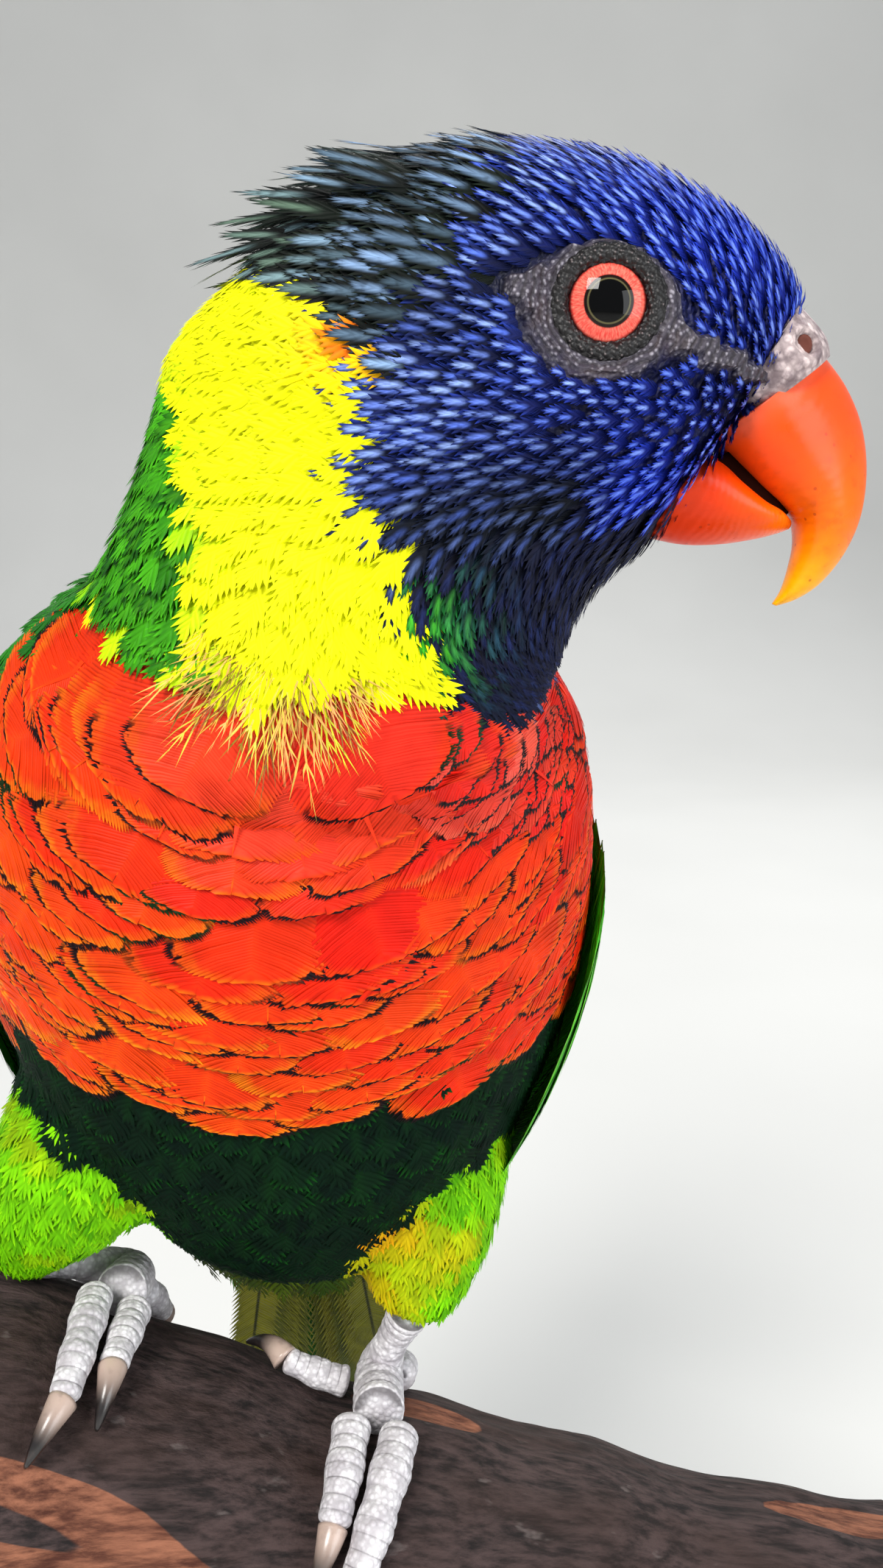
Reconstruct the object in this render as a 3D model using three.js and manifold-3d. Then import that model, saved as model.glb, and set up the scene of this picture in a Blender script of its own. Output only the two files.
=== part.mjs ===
// A life-size rainbow lorikeet on a short cut length of branch, held by a plain display stand.
// Millimetres, +Z up. The origin is the centre of the stand's underside. The breast faces -Y,
// and the head is turned to the bird's own left, so that the bill points along +X.

import * as THREE from "three";
import { mergeVertices } from "three/addons/utils/BufferGeometryUtils.js";
import Module from "manifold-3d";

const wasm = await Module();
wasm.setup();

// Driving dimensions
const GAP = 0.3;

const BASE = { length: 136, depth: 104, thick: 8, corner: 24, bevel: 1.2 };
const ROD = { radius: 3.6, sides: 14, sunk: 6, places: [-38, 40] };
const PERCH = { radius: 19, y: -8, height: 86.6, slope: -0.326, bend: 0.00087, from: -64, to: 68 };
const PERCH_RINGS = 14;
const PERCH_SIDES = 22;

// The trunk runs down a straight axis from inside the neck to the root of the tail. Its lower end
// is tilted backwards and a little to the bird's left, and the breast is turned to the bird's left.
const SHOULDER = new THREE.Vector3(-6, -12, 203);
const TILT = THREE.MathUtils.degToRad(27);
const ROLL = THREE.MathUtils.degToRad(-3);
const TURN = THREE.MathUtils.degToRad(12);
const TRUNK_SIDES = 24;
// Each row is a distance down the axis, a half width, a depth to the breast and one to the back.
const TRUNK = [
  [-4, 18, 16, 14],
  [5, 27.5, 22, 18],
  [16, 32.5, 28, 21],
  [30, 34.5, 32, 22.5],
  [45, 34.5, 33.5, 21.5],
  [60, 31.5, 32.5, 19.5],
  [74, 26, 29.5, 16.5],
  [87, 18.5, 22, 13.5],
  [97, 12.5, 13, 10],
  [104, 8, 6, 7],
];

// The head is drawn round the eye. Each row is a forward and an upward distance from the eye to a
// point on the upper profile, the same to one on the lower profile, and a half width.
const EYE = new THREE.Vector3(23.4, -16.4, 229.1);
const HEAD_SIDES = 20;
const HEAD = [
  [-33, 1.5, -34, -4, 6],
  [-28.5, 7.4, -31.5, -14, 12],
  [-22.5, 12.3, -25.5, -22, 15],
  [-15.5, 15.2, -17.5, -25.5, 16],
  [-8, 16.1, -8.5, -25.5, 16],
  [0, 15.4, 0, -23.5, 15],
  [7, 13.3, 4.5, -21.2, 13.6],
  [13, 10.1, 7, -19, 11.6],
  [17.5, 6.4, 8.8, -16.8, 9.2],
  [20.2, 2.6, 10.8, -13.5, 7],
];
const EYEBALL = { radius: 5, depth: 9.6 };
const LID = { radius: 3.9, tube: 0.9, depth: 13.3 };
// A round dish is hollowed out of the head round each eye.
const DISH = { radius: 9, depth: 21.5 };

// Each neck row is a side and a height for the nape, the same for the throat, and a half depth.
const NECK_SIDES = 20;
const NECK = [
  [-29, 190, 19, 186, 21],
  [-27, 199, 21, 196, 20.5],
  [-23.6, 207, 24, 203.5, 19],
  [-20, 214, 27, 208, 17.5],
  [-17, 221.5, 26, 215, 16],
  [-14.5, 228, 20, 226, 14],
  [-8.5, 233.4, 12, 235, 10],
];
const NECK_Y = [-12, -16.4];

// Bill rows, from the base to the tip: an outer and an inner point in the plane of the profile,
// forward and up from the eye, and a half width.
const BILL_SIDES = 14;
const CERE = [
  [18.6, 2.4, 11.5, -8.4, 7.1],
  [21.3, -0.4, 12.6, -8.3, 7],
  [22, -2.2, 13.4, -8.6, 6.4],
];
const NOSTRIL = { forward: 18.3, up: -2.1, out: 6.1, radius: 0.75 };
const BILL_UPPER = [
  [21.6, -2.1, 11.2, -9.6, 6.3],
  [23.9, -4.9, 13.4, -11.7, 6.1],
  [25.6, -8.3, 16, -14.1, 5.6],
  [26.4, -12.3, 18.2, -15.5, 4.9],
  [26.2, -16.5, 19.8, -16.9, 4],
  [25, -19.9, 20.2, -19.1, 3],
  [23, -22.7, 19.8, -21.5, 2.1],
  [20.8, -24.3, 19.2, -23.5, 1.2],
  [18.8, -25, 18.4, -24.8, 0.35],
];
const BILL_LOWER = [
  [8.6, -10.4, 5.4, -18.4, 5.9],
  [11.6, -11.4, 9.3, -19.2, 5.6],
  [13.9, -13.5, 13, -19.2, 5],
  [16.1, -15.3, 16.4, -18.7, 4],
  [18.1, -16.2, 18.4, -18.2, 2.7],
  [19.4, -17, 19.5, -17.8, 1.2],
];

// Legs. Each thigh runs from inside the trunk to the heel, and each foot sits on the perch.
const LEG_SIDES = 12;
const LEGS = {
  right: {
    thigh: [[-27, -2, 148, 11.5], [-33, -2, 138, 10.5], [-39, -1.5, 130, 7.6], [-43, -1, 124, 4]],
    heel: [-43.4, -1, 123.4, 2.2],
    foot: -37.2,
    pad: [-30, -12],
    toes: [
      { name: "toe2", from: [2.3, -10], to: [2.4, 16], claw: [3.2, 33], radius: 2.3, joints: 2 },
      { name: "toe3", from: [-2.5, -8], to: [-1.2, 30], claw: [-2.2, 48], radius: 2.4, joints: 3 },
      { name: "toe1", from: [2.2, -34], to: [5.6, -60], claw: [6.6, -80], radius: 2.1, joints: 2 },
      { name: "toe4", from: [-2.6, -34], to: [-5.2, -74], claw: [-6, -94], radius: 2.3, joints: 3 },
    ],
  },
  left: {
    thigh: [[7.5, 4, 145, 11.5], [8, 1.5, 135, 10.4], [8, -1, 126, 7.8], [6, -3, 118, 4.6]],
    heel: [5.8, -3.2, 117.4, 2.6],
    foot: -4.5,
    pad: [-16, 4],
    toes: [
      { name: "toe2", from: [-2.7, 8], to: [-2.6, 40], claw: [-3, 58], radius: 2.5, joints: 2 },
      { name: "toe3", from: [2.9, 8], to: [1, 52], claw: [0.4, 72], radius: 2.6, joints: 3 },
      { name: "toe1", from: [-3.4, -12], to: [-11.6, -13], claw: [-16.4, -22], radius: 2, joints: 2 },
      { name: "toe4", from: [2.8, -20], to: [5.4, -64], claw: [6.4, -84], radius: 2.3, joints: 3 },
    ],
  },
};
const TOE_SIDES = 8;
const CLAW_SIDES = 6;

// Folded wings lie on a shell over the trunk that goes on past it, over the tail. Each row is a
// distance down the axis, a half width, a depth to the breast, one to the back and a rise.
const WING_SHELL = [
  ...TRUNK.slice(0, 6).map((row) => [...row, 0]),
  [74, 26.5, 29, 17, 0.3],
  [87, 22.5, 22, 14.5, 1.2],
  [100, 18.5, 13, 12, 2.4],
  [115, 15.2, 9.6, 9.6, 3.6],
  [130, 12.8, 8, 8, 4],
  [155, 10, 6.5, 6.5, 4],
];
// All the feathers of a wing lie in the same lanes, fanned between a low and a high angle from the
// side towards the back. Each row is a distance, the low angle and the high angle.
const LANES = 8;
const LANE_FAN = [
  [0, 20, 80],
  [25, 12, 77],
  [50, -8, 76],
  [80, -8, 76],
  [110, 20, 80],
  [155, 50, 84],
];
// Feathers of neighbouring lanes are stepped in height, by tilting them where the lanes are wide
// and by stacking them where the lanes close up.
const STEP = 0.95;
const VANE_THICK = 0.56;
const WING_TIERS = [
  { root: 44, tips: [151, 149, 143, 135, 125, 112, 105, 98], half: [4.9, 4], lift: 1.4 },
  { root: 30, tips: [79, 80, 80, 79, 78, 77, 76, 74], half: [4.8, 4.6], lift: 2.25 },
  { root: 17, tips: [57, 57, 56, 56, 55, 55, 54, 53], half: [4.6, 4.4], lift: 3.1 },
];
const WING_PAD = { from: 1, to: 62, deep: 0.5, lift: 4.4, thin: 0.9, cells: 6 };

// The tail: six pairs of vanes, the inner pair on top and longest, with coverts over their roots
const TAIL = { start: 90, end: 204, pairs: 6, shorter: 10.5, half: 5.4, side: 2.2, fan: 0.022, top: 1.6, drop: 0.85 };
const TAIL_CORE = [
  [88, 9.5, 6, 6],
  [97, 10, 6.4, 6.4],
  [108, 8.5, 4.8, 4.8],
  [118, 6.5, 2.6, 2.4],
];
const COVERTS = { start: 94, length: 38, half: 5.2, apart: 4.2, top: 5, slant: 0.9 };

// Pointed nape feathers that stand clear of the head's outline
const HACKLES = [
  { count: 6, station: 1.5, reach: 2.6, spread: 62 },
  { count: 6, station: 2.3, reach: 2.6, spread: 58 },
  { count: 5, station: 3.1, reach: 1.9, spread: 50 },
];
const HACKLE_HALF = 1.5;

const X_AXIS = new THREE.Vector3(1, 0, 0);
const Y_AXIS = new THREE.Vector3(0, 1, 0);

const paint = (color, roughness) => new THREE.MeshStandardMaterial({ color, roughness, metalness: 0 });
const MATERIALS = {
  blue: paint(0x1f2f9a, 0.6),
  collar: paint(0xb9e01a, 0.8),
  red: paint(0xd8330f, 0.75),
  green: paint(0x2f9a1c, 0.65),
  lime: paint(0x8fc81e, 0.8),
  bill: paint(0xe2500e, 0.35),
  cere: paint(0x8a7f7c, 0.8),
  eye: paint(0x14100e, 0.1),
  skin: paint(0x9a9a98, 0.7),
  claw: paint(0x6a625c, 0.45),
  bark: paint(0x4a362c, 0.85),
  stand: paint(0x2a2a2c, 0.5),
};

// Catmull-Rom values between the rows of a table, with a number of steps for each gap
function smoothRows(rows, steps) {
  const at = (i) => rows[Math.min(rows.length - 1, Math.max(0, i))];
  const out = [];
  for (let i = 0; i + 1 < rows.length; i++)
    for (let k = 0; k < steps; k++) out.push(rowBetween(at(i - 1), at(i), at(i + 1), at(i + 2), k / steps));
  out.push(rows[rows.length - 1]);
  return out;
}

function rowBetween(before, from, to, after, t) {
  return from.map((value, column) => {
    const slopeFrom = (to[column] - before[column]) / 2;
    const slopeTo = (after[column] - value) / 2;
    const rise = to[column] - value;
    return value + t * (slopeFrom + t * (3 * rise - 2 * slopeFrom - slopeTo + t * (slopeFrom + slopeTo - 2 * rise)));
  });
}

// The row of a table at a given value of its first column
function rowAt(rows, first) {
  const last = rows.length - 2;
  let i = rows.findIndex((row, k) => k === last || rows[k + 1][0] > first);
  i = Math.min(i, last);
  const t = THREE.MathUtils.clamp((first - rows[i][0]) / (rows[i + 1][0] - rows[i][0]), 0, 1);
  return rowBetween(rows[Math.max(0, i - 1)], rows[i], rows[i + 1], rows[Math.min(last + 1, i + 2)], t);
}

// Solids
function solidFrom(points, faces) {
  const vertProperties = new Float32Array(points.flatMap((p) => [p.x, p.y, p.z]));
  const build = (list) =>
    new wasm.Manifold(new wasm.Mesh({ numProp: 3, vertProperties, triVerts: new Uint32Array(list.flat()) }));
  const solid = build(faces);
  return solid.volume() < 0 ? build(faces.map(([a, b, c]) => [a, c, b])) : solid;
}

function solidOf(geometry) {
  const bare = geometry.clone();
  bare.deleteAttribute("normal");
  bare.deleteAttribute("uv");
  const merged = mergeVertices(bare, 1e-4);
  const points = [];
  const position = merged.getAttribute("position");
  for (let i = 0; i < position.count; i++) points.push(new THREE.Vector3().fromBufferAttribute(position, i));
  const faces = [];
  for (let i = 0; i < merged.index.count; i += 3) faces.push([0, 1, 2].map((k) => merged.index.getX(i + k)));
  return solidFrom(points, faces);
}

function largest(solid) {
  return solid.decompose().reduce((best, piece) => (piece.volume() > best.volume() ? piece : best));
}

const joined = (solids) => solids.reduce((whole, piece) => whole.add(piece));
const cutBy = (solid, ...tools) => largest(tools.reduce((rest, tool) => rest.subtract(tool), solid));

function geometryOf(solid) {
  const { numProp, vertProperties, triVerts } = solid.getMesh();
  const position = new Float32Array((vertProperties.length / numProp) * 3);
  for (let i = 0; i < position.length; i++) position[i] = vertProperties[Math.floor(i / 3) * numProp + (i % 3)];
  const geometry = new THREE.BufferGeometry();
  geometry.setAttribute("position", new THREE.BufferAttribute(position, 3));
  geometry.setIndex(Array.from(triVerts));
  return geometry;
}

// A stack of rings of points, closed over each end by a fan, or by rungs where the rings are flat
function stack(rings, flat = false) {
  const around = rings[0].length;
  const points = rings.flat();
  const faces = [];
  for (let i = 0; i + 1 < rings.length; i++)
    for (let j = 0; j < around; j++) {
      const a = i * around + j;
      const b = i * around + ((j + 1) % around);
      faces.push([a, b, b + around], [a, b + around, a + around]);
    }
  const last = (rings.length - 1) * around;
  for (const [start, turned] of [[0, true], [last, false]]) {
    const cap = flat ? rungs(start, around) : fan(start, around, points);
    faces.push(...(turned ? cap.map(([a, b, c]) => [a, c, b]) : cap));
  }
  return solidFrom(points, faces);
}

function fan(start, around, points) {
  const middle = new THREE.Vector3();
  for (let j = 0; j < around; j++) middle.addScaledVector(points[start + j], 1 / around);
  const centre = points.push(middle) - 1;
  return Array.from({ length: around }, (_, j) => [start + j, start + ((j + 1) % around), centre]);
}

function rungs(start, around) {
  const faces = [];
  for (let j = 0; j + 1 < around / 2; j++) {
    const [a, b, c, d] = [j, j + 1, around - 2 - j, around - 1 - j].map((k) => start + k);
    faces.push([a, b, c], [a, c, d]);
  }
  return faces;
}

// An oval ring round a centre: rise and drop are its reaches along one axis, half across the other
function oval({ centre, along, rise, drop, across, half, lean = 0 }, sides, grow = 0) {
  return Array.from({ length: sides }, (_, k) => {
    const turn = (2 * Math.PI * k) / sides;
    const up = Math.cos(turn);
    const reach = (up > 0 ? rise : drop) + grow;
    return centre
      .clone()
      .addScaledVector(along, up * reach)
      .addScaledVector(across, Math.sin(turn) * (half + grow) * (1 - lean * up));
  });
}

// The first and last rings of a stack, moved outwards along it
function grownEnds(rings, grow) {
  if (!grow) return rings;
  const middle = (ring) => ring.reduce((sum, p) => sum.addScaledVector(p, 1 / ring.length), new THREE.Vector3());
  const push = (ring, next) => {
    const way = middle(ring).sub(middle(next)).setLength(grow);
    return ring.map((p) => p.clone().add(way));
  };
  const last = rings.length - 1;
  return rings.map((ring, i) => (i === 0 ? push(ring, rings[1]) : i === last ? push(ring, rings[last - 1]) : ring));
}

// A tube through [x, y, z, radius] rows
function tube(rows, sides, grow = 0) {
  const spots = rows.map(([x, y, z]) => new THREE.Vector3(x, y, z));
  const rings = spots.map((centre, i) => {
    const way = spots[Math.min(i + 1, spots.length - 1)].clone().sub(spots[Math.max(i - 1, 0)]).normalize();
    const across = way.clone().cross(Math.abs(way.y) > 0.9 ? X_AXIS : Y_AXIS).normalize();
    const along = across.clone().cross(way);
    return oval({ centre, along, rise: rows[i][3], drop: rows[i][3], across, half: rows[i][3] }, sides, grow);
  });
  return stack(grownEnds(rings, grow));
}

// A feather: a thin blade through [left edge, right edge, outward] spots, split alike on both faces
function blade(spots, thick = VANE_THICK) {
  const points = [];
  for (const [left, right, out] of spots)
    for (const [edge, side] of [[left, -1], [right, -1], [right, 1], [left, 1]])
      points.push(edge.clone().addScaledVector(out, (side * thick) / 2));
  const faces = [[1, 0, 3], [1, 3, 2]];
  for (let i = 0; i + 1 < spots.length; i++) {
    const quad = [[0, 1, 5], [0, 5, 4], [1, 2, 6], [1, 6, 5], [3, 6, 2], [3, 7, 6], [3, 0, 4], [3, 4, 7]];
    faces.push(...quad.map((face) => face.map((k) => k + 4 * i)));
  }
  const end = 4 * (spots.length - 1);
  faces.push([end, end + 1, end + 2], [end, end + 2, end + 3]);
  return solidFrom(points, faces);
}

// A vane's half width along its length, full over the middle and rounded to its tip
const vaneShape = (t) => Math.min(1, 0.55 + 2 * t) * Math.sqrt(Math.max(0.02, 1 - Math.pow(t, 3.2)));

// The stand
function standBase() {
  const { length, depth, thick, corner, bevel } = BASE;
  const halfLength = length / 2 - bevel;
  const halfDepth = depth / 2 - bevel;
  const shape = new THREE.Shape();
  const corners = [[1, -1, -90], [1, 1, 0], [-1, 1, 90], [-1, -1, 180]];
  for (const [sideX, sideY, start] of corners) {
    const from = THREE.MathUtils.degToRad(start);
    const spot = [sideX * (halfLength - corner), sideY * (halfDepth - corner)];
    shape.absarc(...spot, corner, from, from + Math.PI / 2);
  }
  const bevelled = { bevelThickness: bevel, bevelSize: bevel, bevelSegments: 1 };
  const options = { depth: thick - 2 * bevel, curveSegments: 5, ...bevelled };
  return solidOf(new THREE.ExtrudeGeometry(shape, options).translate(0, 0, bevel));
}

const perchHeight = (x) => PERCH.height + PERCH.slope * x + PERCH.bend * x * x;
const perchRadius = (x) => PERCH.radius + 0.5 * Math.sin(x / 9) + 0.4 * Math.sin(x / 3.7 + 1);

// A point off the perch's axis at x, at an angle from its top towards the breast's side
function aroundPerch(x, degrees, radius) {
  const turn = THREE.MathUtils.degToRad(degrees);
  const slope = PERCH.slope + 2 * PERCH.bend * x;
  const normal = new THREE.Vector3(-slope, 0, 1).normalize();
  return new THREE.Vector3(x, PERCH.y, perchHeight(x))
    .addScaledVector(normal, Math.cos(turn) * radius)
    .addScaledVector(Y_AXIS, -Math.sin(turn) * radius);
}

function perch(grow = 0) {
  const rings = [];
  for (let i = 0; i <= PERCH_RINGS; i++) {
    const x = THREE.MathUtils.lerp(PERCH.from, PERCH.to, i / PERCH_RINGS);
    rings.push(
      Array.from({ length: PERCH_SIDES }, (_, k) => aroundPerch(x, (360 * k) / PERCH_SIDES, perchRadius(x) + grow)),
    );
  }
  return stack(rings);
}

function rod(x) {
  const top = perchHeight(x) - PERCH.radius + ROD.sunk;
  const bottom = BASE.thick + GAP;
  const geometry = new THREE.CylinderGeometry(ROD.radius, ROD.radius, top - bottom, ROD.sides);
  geometry.rotateX(Math.PI / 2).translate(x, PERCH.y, (top + bottom) / 2);
  return largest(solidOf(geometry).subtract(perch(GAP)));
}

// The trunk
const Z_AXIS = new THREE.Vector3(0, 0, 1);
const ACROSS = X_AXIS.clone().applyAxisAngle(Z_AXIS, TURN).applyAxisAngle(Y_AXIS, ROLL);
const DOWN = new THREE.Vector3(0, Math.sin(TILT), -Math.cos(TILT))
  .applyAxisAngle(Z_AXIS, TURN)
  .applyAxisAngle(Y_AXIS, ROLL);
const VENTRAL = DOWN.clone().cross(ACROSS);
const DORSAL = VENTRAL.clone().negate();
const onAxis = (distance) => SHOULDER.clone().addScaledVector(DOWN, distance);

function axisStack(rows, sides, grow) {
  const rings = smoothRows(rows, 2).map(([distance, half, front, back]) => {
    const shape = { centre: onAxis(distance), along: VENTRAL, rise: front, drop: back, across: ACROSS, half };
    return oval(shape, sides, grow);
  });
  return stack(grownEnds(rings, grow));
}

const trunk = (grow = 0) => axisStack(TRUNK, TRUNK_SIDES, grow);

// The head, neck and bill
const inProfile = (forward, up, out = 0) => new THREE.Vector3(EYE.x + forward, EYE.y + out, EYE.z + up);

// A ring between an outer and an inner point of the profile
function profileRing([outerForward, outerUp, innerForward, innerUp, half], sides, grow, lean = 0) {
  const outer = inProfile(outerForward, outerUp);
  const inner = inProfile(innerForward, innerUp);
  const reach = outer.distanceTo(inner) / 2;
  const along = outer.clone().sub(inner).normalize();
  const centre = outer.add(inner).multiplyScalar(0.5);
  return oval({ centre, along, rise: reach, drop: reach, across: Y_AXIS, half, lean }, sides, grow);
}

function profileStack(rows, sides, grow, steps, lean) {
  const rings = smoothRows(rows, steps).map((row) => profileRing(row, sides, grow, lean));
  return stack(grownEnds(rings, grow));
}

const skull = (grow = 0) => profileStack(HEAD, HEAD_SIDES, grow, 2, 0);

function neck(grow = 0) {
  const rows = smoothRows(NECK, 2);
  const rings = rows.map(([napeX, napeZ, throatX, throatZ, half], i) => {
    const y = THREE.MathUtils.lerp(NECK_Y[0], NECK_Y[1], i / (rows.length - 1));
    const nape = new THREE.Vector3(napeX, y, napeZ);
    const throat = new THREE.Vector3(throatX, y, throatZ);
    const reach = nape.distanceTo(throat) / 2;
    const along = nape.clone().sub(throat).normalize();
    const centre = nape.add(throat).multiplyScalar(0.5);
    return oval({ centre, along, rise: reach, drop: reach, across: Y_AXIS, half }, NECK_SIDES, grow);
  });
  return stack(grownEnds(rings, grow));
}

function eyeball(side, grow = 0) {
  const sphere = new THREE.SphereGeometry(EYEBALL.radius + grow, 14, 9);
  const centre = inProfile(0, 0, side * EYEBALL.depth);
  return solidOf(sphere.rotateX(Math.PI / 2).translate(centre.x, centre.y, centre.z));
}

function dish(side) {
  const sphere = new THREE.SphereGeometry(DISH.radius, 16, 14);
  const centre = inProfile(0, 0, side * DISH.depth);
  return solidOf(sphere.rotateX(Math.PI / 2).translate(centre.x, centre.y, centre.z));
}

function lid(side) {
  const ring = new THREE.TorusGeometry(LID.radius, LID.tube, 6, 16);
  const centre = inProfile(0, 0, side * LID.depth);
  return solidOf(ring.rotateX(Math.PI / 2).translate(centre.x, centre.y, centre.z));
}

// A row of pointed nape feathers, rooted in the head and standing off it behind
function hackleRow({ count, station, reach, spread }) {
  const out = [];
  for (let i = 0; i < count; i++) {
    const share = count > 1 ? (2 * i) / (count - 1) - 1 : 0;
    const turn = THREE.MathUtils.degToRad(share * spread);
    out.push(hackle(station + 0.2 * Math.cos(5 * i), reach, turn));
  }
  return out;
}

function onSkull(station, turn, lift) {
  const from = THREE.MathUtils.clamp(Math.floor(station), 0, HEAD.length - 2);
  const row = rowBetween(HEAD[Math.max(0, from - 1)], HEAD[from], HEAD[from + 1], HEAD[from + 2], station - from);
  const centre = inProfile((row[0] + row[2]) / 2, (row[1] + row[3]) / 2);
  const top = inProfile(row[0], row[1]);
  const way = top.sub(centre);
  const out = way.clone().normalize().multiplyScalar(Math.cos(turn)).addScaledVector(Y_AXIS, -Math.sin(turn));
  const spot = centre.addScaledVector(way, Math.cos(turn)).addScaledVector(Y_AXIS, -Math.sin(turn) * row[4]);
  return { spot: spot.addScaledVector(out, lift), out };
}

function hackle(station, reach, turn) {
  const root = onSkull(station, turn, -1);
  const bend = onSkull(station - 0.7, turn, reach * 0.6);
  const end = onSkull(station - 1.4, turn, reach);
  const path = new THREE.QuadraticBezierCurve3(root.spot, bend.spot, end.spot);
  const spots = [0, 0.35, 0.7, 1].map((t) => {
    const middle = path.getPoint(t);
    const across = path.getTangent(t).cross(end.out).setLength(HACKLE_HALF * vaneShape(t));
    return [middle.clone().sub(across), middle.clone().add(across), end.out];
  });
  return blade(spots, 0.6);
}

const cere = (grow = 0) => profileStack(CERE, BILL_SIDES, grow, 1, 0);

function nostril(side) {
  const sphere = new THREE.SphereGeometry(NOSTRIL.radius, 10, 8);
  const centre = inProfile(NOSTRIL.forward, NOSTRIL.up, side * NOSTRIL.out);
  return solidOf(sphere.scale(1, 1.6, 1.3).translate(centre.x, centre.y, centre.z));
}

// The bill is wider at its cutting edge than at its ridge, which lean gives.
const billUpper = (grow = 0) => profileStack(BILL_UPPER, BILL_SIDES, grow, 2, 0.22);
const billLower = (grow = 0) => profileStack(BILL_LOWER, BILL_SIDES, grow, 2, -0.18);

// The legs
const TARSUS = { palm: 3.3, neck: 2.1 };

function tarsus({ heel, foot, pad }, grow = 0) {
  const [back, front] = pad.map((angle) => aroundPerch(foot, angle, perchRadius(foot) + TARSUS.palm + GAP));
  const start = new THREE.Vector3(...heel);
  const bend = start.clone().lerp(back, 0.6).add(new THREE.Vector3(0, 0, 0.8));
  const rows = [
    [...start.toArray(), heel[3]],
    [...bend.toArray(), TARSUS.neck],
    [...back.toArray(), TARSUS.palm - 0.3],
    [...front.toArray(), TARSUS.palm - 0.2],
  ];
  return tube(smoothRows(rows, 2), LEG_SIDES, grow);
}

// A toe hugs the perch from one [shift, degrees] to another, swelling between its joints
function toeRows(foot, { from, to, radius, joints }) {
  const steps = 2 * joints + 1;
  return Array.from({ length: steps + 1 }, (_, i) => {
    const t = i / steps;
    const swell = radius * (1 - 0.22 * t) * (0.96 + 0.08 * Math.cos(2 * Math.PI * joints * t));
    const x = foot + THREE.MathUtils.lerp(from[0], to[0], t);
    const spot = aroundPerch(x, THREE.MathUtils.lerp(from[1], to[1], t), perchRadius(x) + GAP + radius);
    return [...spot.toArray(), swell];
  });
}

function clawRows(foot, { to, claw, radius }) {
  return [0, 0.35, 0.7, 1].map((t) => {
    const x = foot + THREE.MathUtils.lerp(to[0], claw[0], t);
    const size = 1.5 * Math.pow(1 - t, 0.8) + 0.25;
    const height = THREE.MathUtils.lerp(radius, 0.9, t * t) + 0.5 * Math.sin(Math.PI * t);
    const spot = aroundPerch(x, THREE.MathUtils.lerp(to[1], claw[1], t), perchRadius(x) + GAP + height);
    return [...spot.toArray(), size];
  });
}

// The wings: a place on the shell over the trunk, on the bird's left when side is 1
function onShell(side, distance, degrees, lift) {
  const [, half, front, back, rise] = rowAt(WING_SHELL, distance);
  const turn = THREE.MathUtils.degToRad(degrees);
  return onAxis(distance)
    .addScaledVector(ACROSS, side * Math.cos(turn) * (half + lift))
    .addScaledVector(DORSAL, rise + Math.sin(turn) * ((degrees > 0 ? back : front) + lift));
}

function wingVane(side, lane, { root, tips, half, lift }) {
  const steps = Math.max(3, Math.ceil((tips[lane] - root) / 27));
  return blade(
    Array.from({ length: steps + 1 }, (_, i) => {
      const t = i / steps;
      const distance = THREE.MathUtils.lerp(root, tips[lane], t);
      const [, low, high] = rowAt(LANE_FAN, distance);
      const pitch = (high - low) / (LANES - 1);
      const stacked = 0.85 * THREE.MathUtils.smoothstep(distance, 60, 120);
      const reach = THREE.MathUtils.lerp(half[0], half[1], t) * vaneShape(t);
      const turn = THREE.MathUtils.radToDeg(reach / rowAt(WING_SHELL, distance)[1]);
      const tilt = (STEP * (1 - stacked) * turn) / pitch;
      const height = lift + STEP * stacked * lane;
      const degrees = low + pitch * lane;
      const outward = onShell(side, distance, degrees, 9).sub(onShell(side, distance, degrees, 0)).normalize();
      const edges = [onShell(side, distance, degrees - turn, height + tilt)];
      edges.push(onShell(side, distance, degrees + turn, height - tilt));
      return [...edges, outward];
    }),
  );
}

// The muscle and small feathers that the longer ones grow from
function wingPad(side) {
  const { from, to, deep, lift, thin, cells } = WING_PAD;
  const rings = [];
  for (let i = 0; i <= cells; i++) {
    const t = i / cells;
    const distance = THREE.MathUtils.lerp(from, to, t);
    const [, low, high] = rowAt(LANE_FAN, distance);
    const round = Math.pow(Math.sin(Math.PI * THREE.MathUtils.clamp(0.08 + t, 0, 0.5)), 0.5);
    const middle = (low + high) / 2;
    const reach = ((high - low) / 2 + 3) * round;
    const top = THREE.MathUtils.lerp(lift, thin, t * t) * round;
    const ring = [];
    for (let j = 0; j <= 6; j++) {
      const share = j / 3 - 1;
      ring.push(onShell(side, distance, middle + share * reach, deep + 0.4 + top * Math.sqrt(1 - 0.9 * share * share)));
    }
    for (let j = 6; j >= 0; j--) ring.push(onShell(side, distance, middle + (j / 3 - 1) * reach, deep));
    rings.push(ring);
  }
  return stack(rings, true);
}

function wing(side) {
  const pieces = [wingPad(side)];
  for (const tier of WING_TIERS)
    for (let lane = 0; lane < LANES; lane++) pieces.push(wingVane(side, lane, tier));
  return joined(pieces);
}

// The tail
function tailVane(side, pair) {
  const { start, end, shorter, half, fan, top, drop } = TAIL;
  const length = end - start - pair * shorter;
  const height = top - drop * pair + (pair === 0 && side > 0 ? drop : 0);
  const steps = 5;
  return blade(
    Array.from({ length: steps + 1 }, (_, i) => {
      const t = i / steps;
      const along = start + length * t;
      const reach = half * vaneShape(t) * (1 - 0.3 * t);
      const middle = TAIL.side + 0.5 * pair + fan * pair * (along - start);
      const inner = pair === 0 ? middle - reach : Math.max(0.25, middle - reach);
      const spot = onAxis(along).addScaledVector(DORSAL, height);
      const edges = [inner, middle + reach].map((x) => spot.clone().addScaledVector(ACROSS, side * x));
      return [...(side > 0 ? edges : edges.reverse()), DORSAL];
    }),
  );
}

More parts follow.
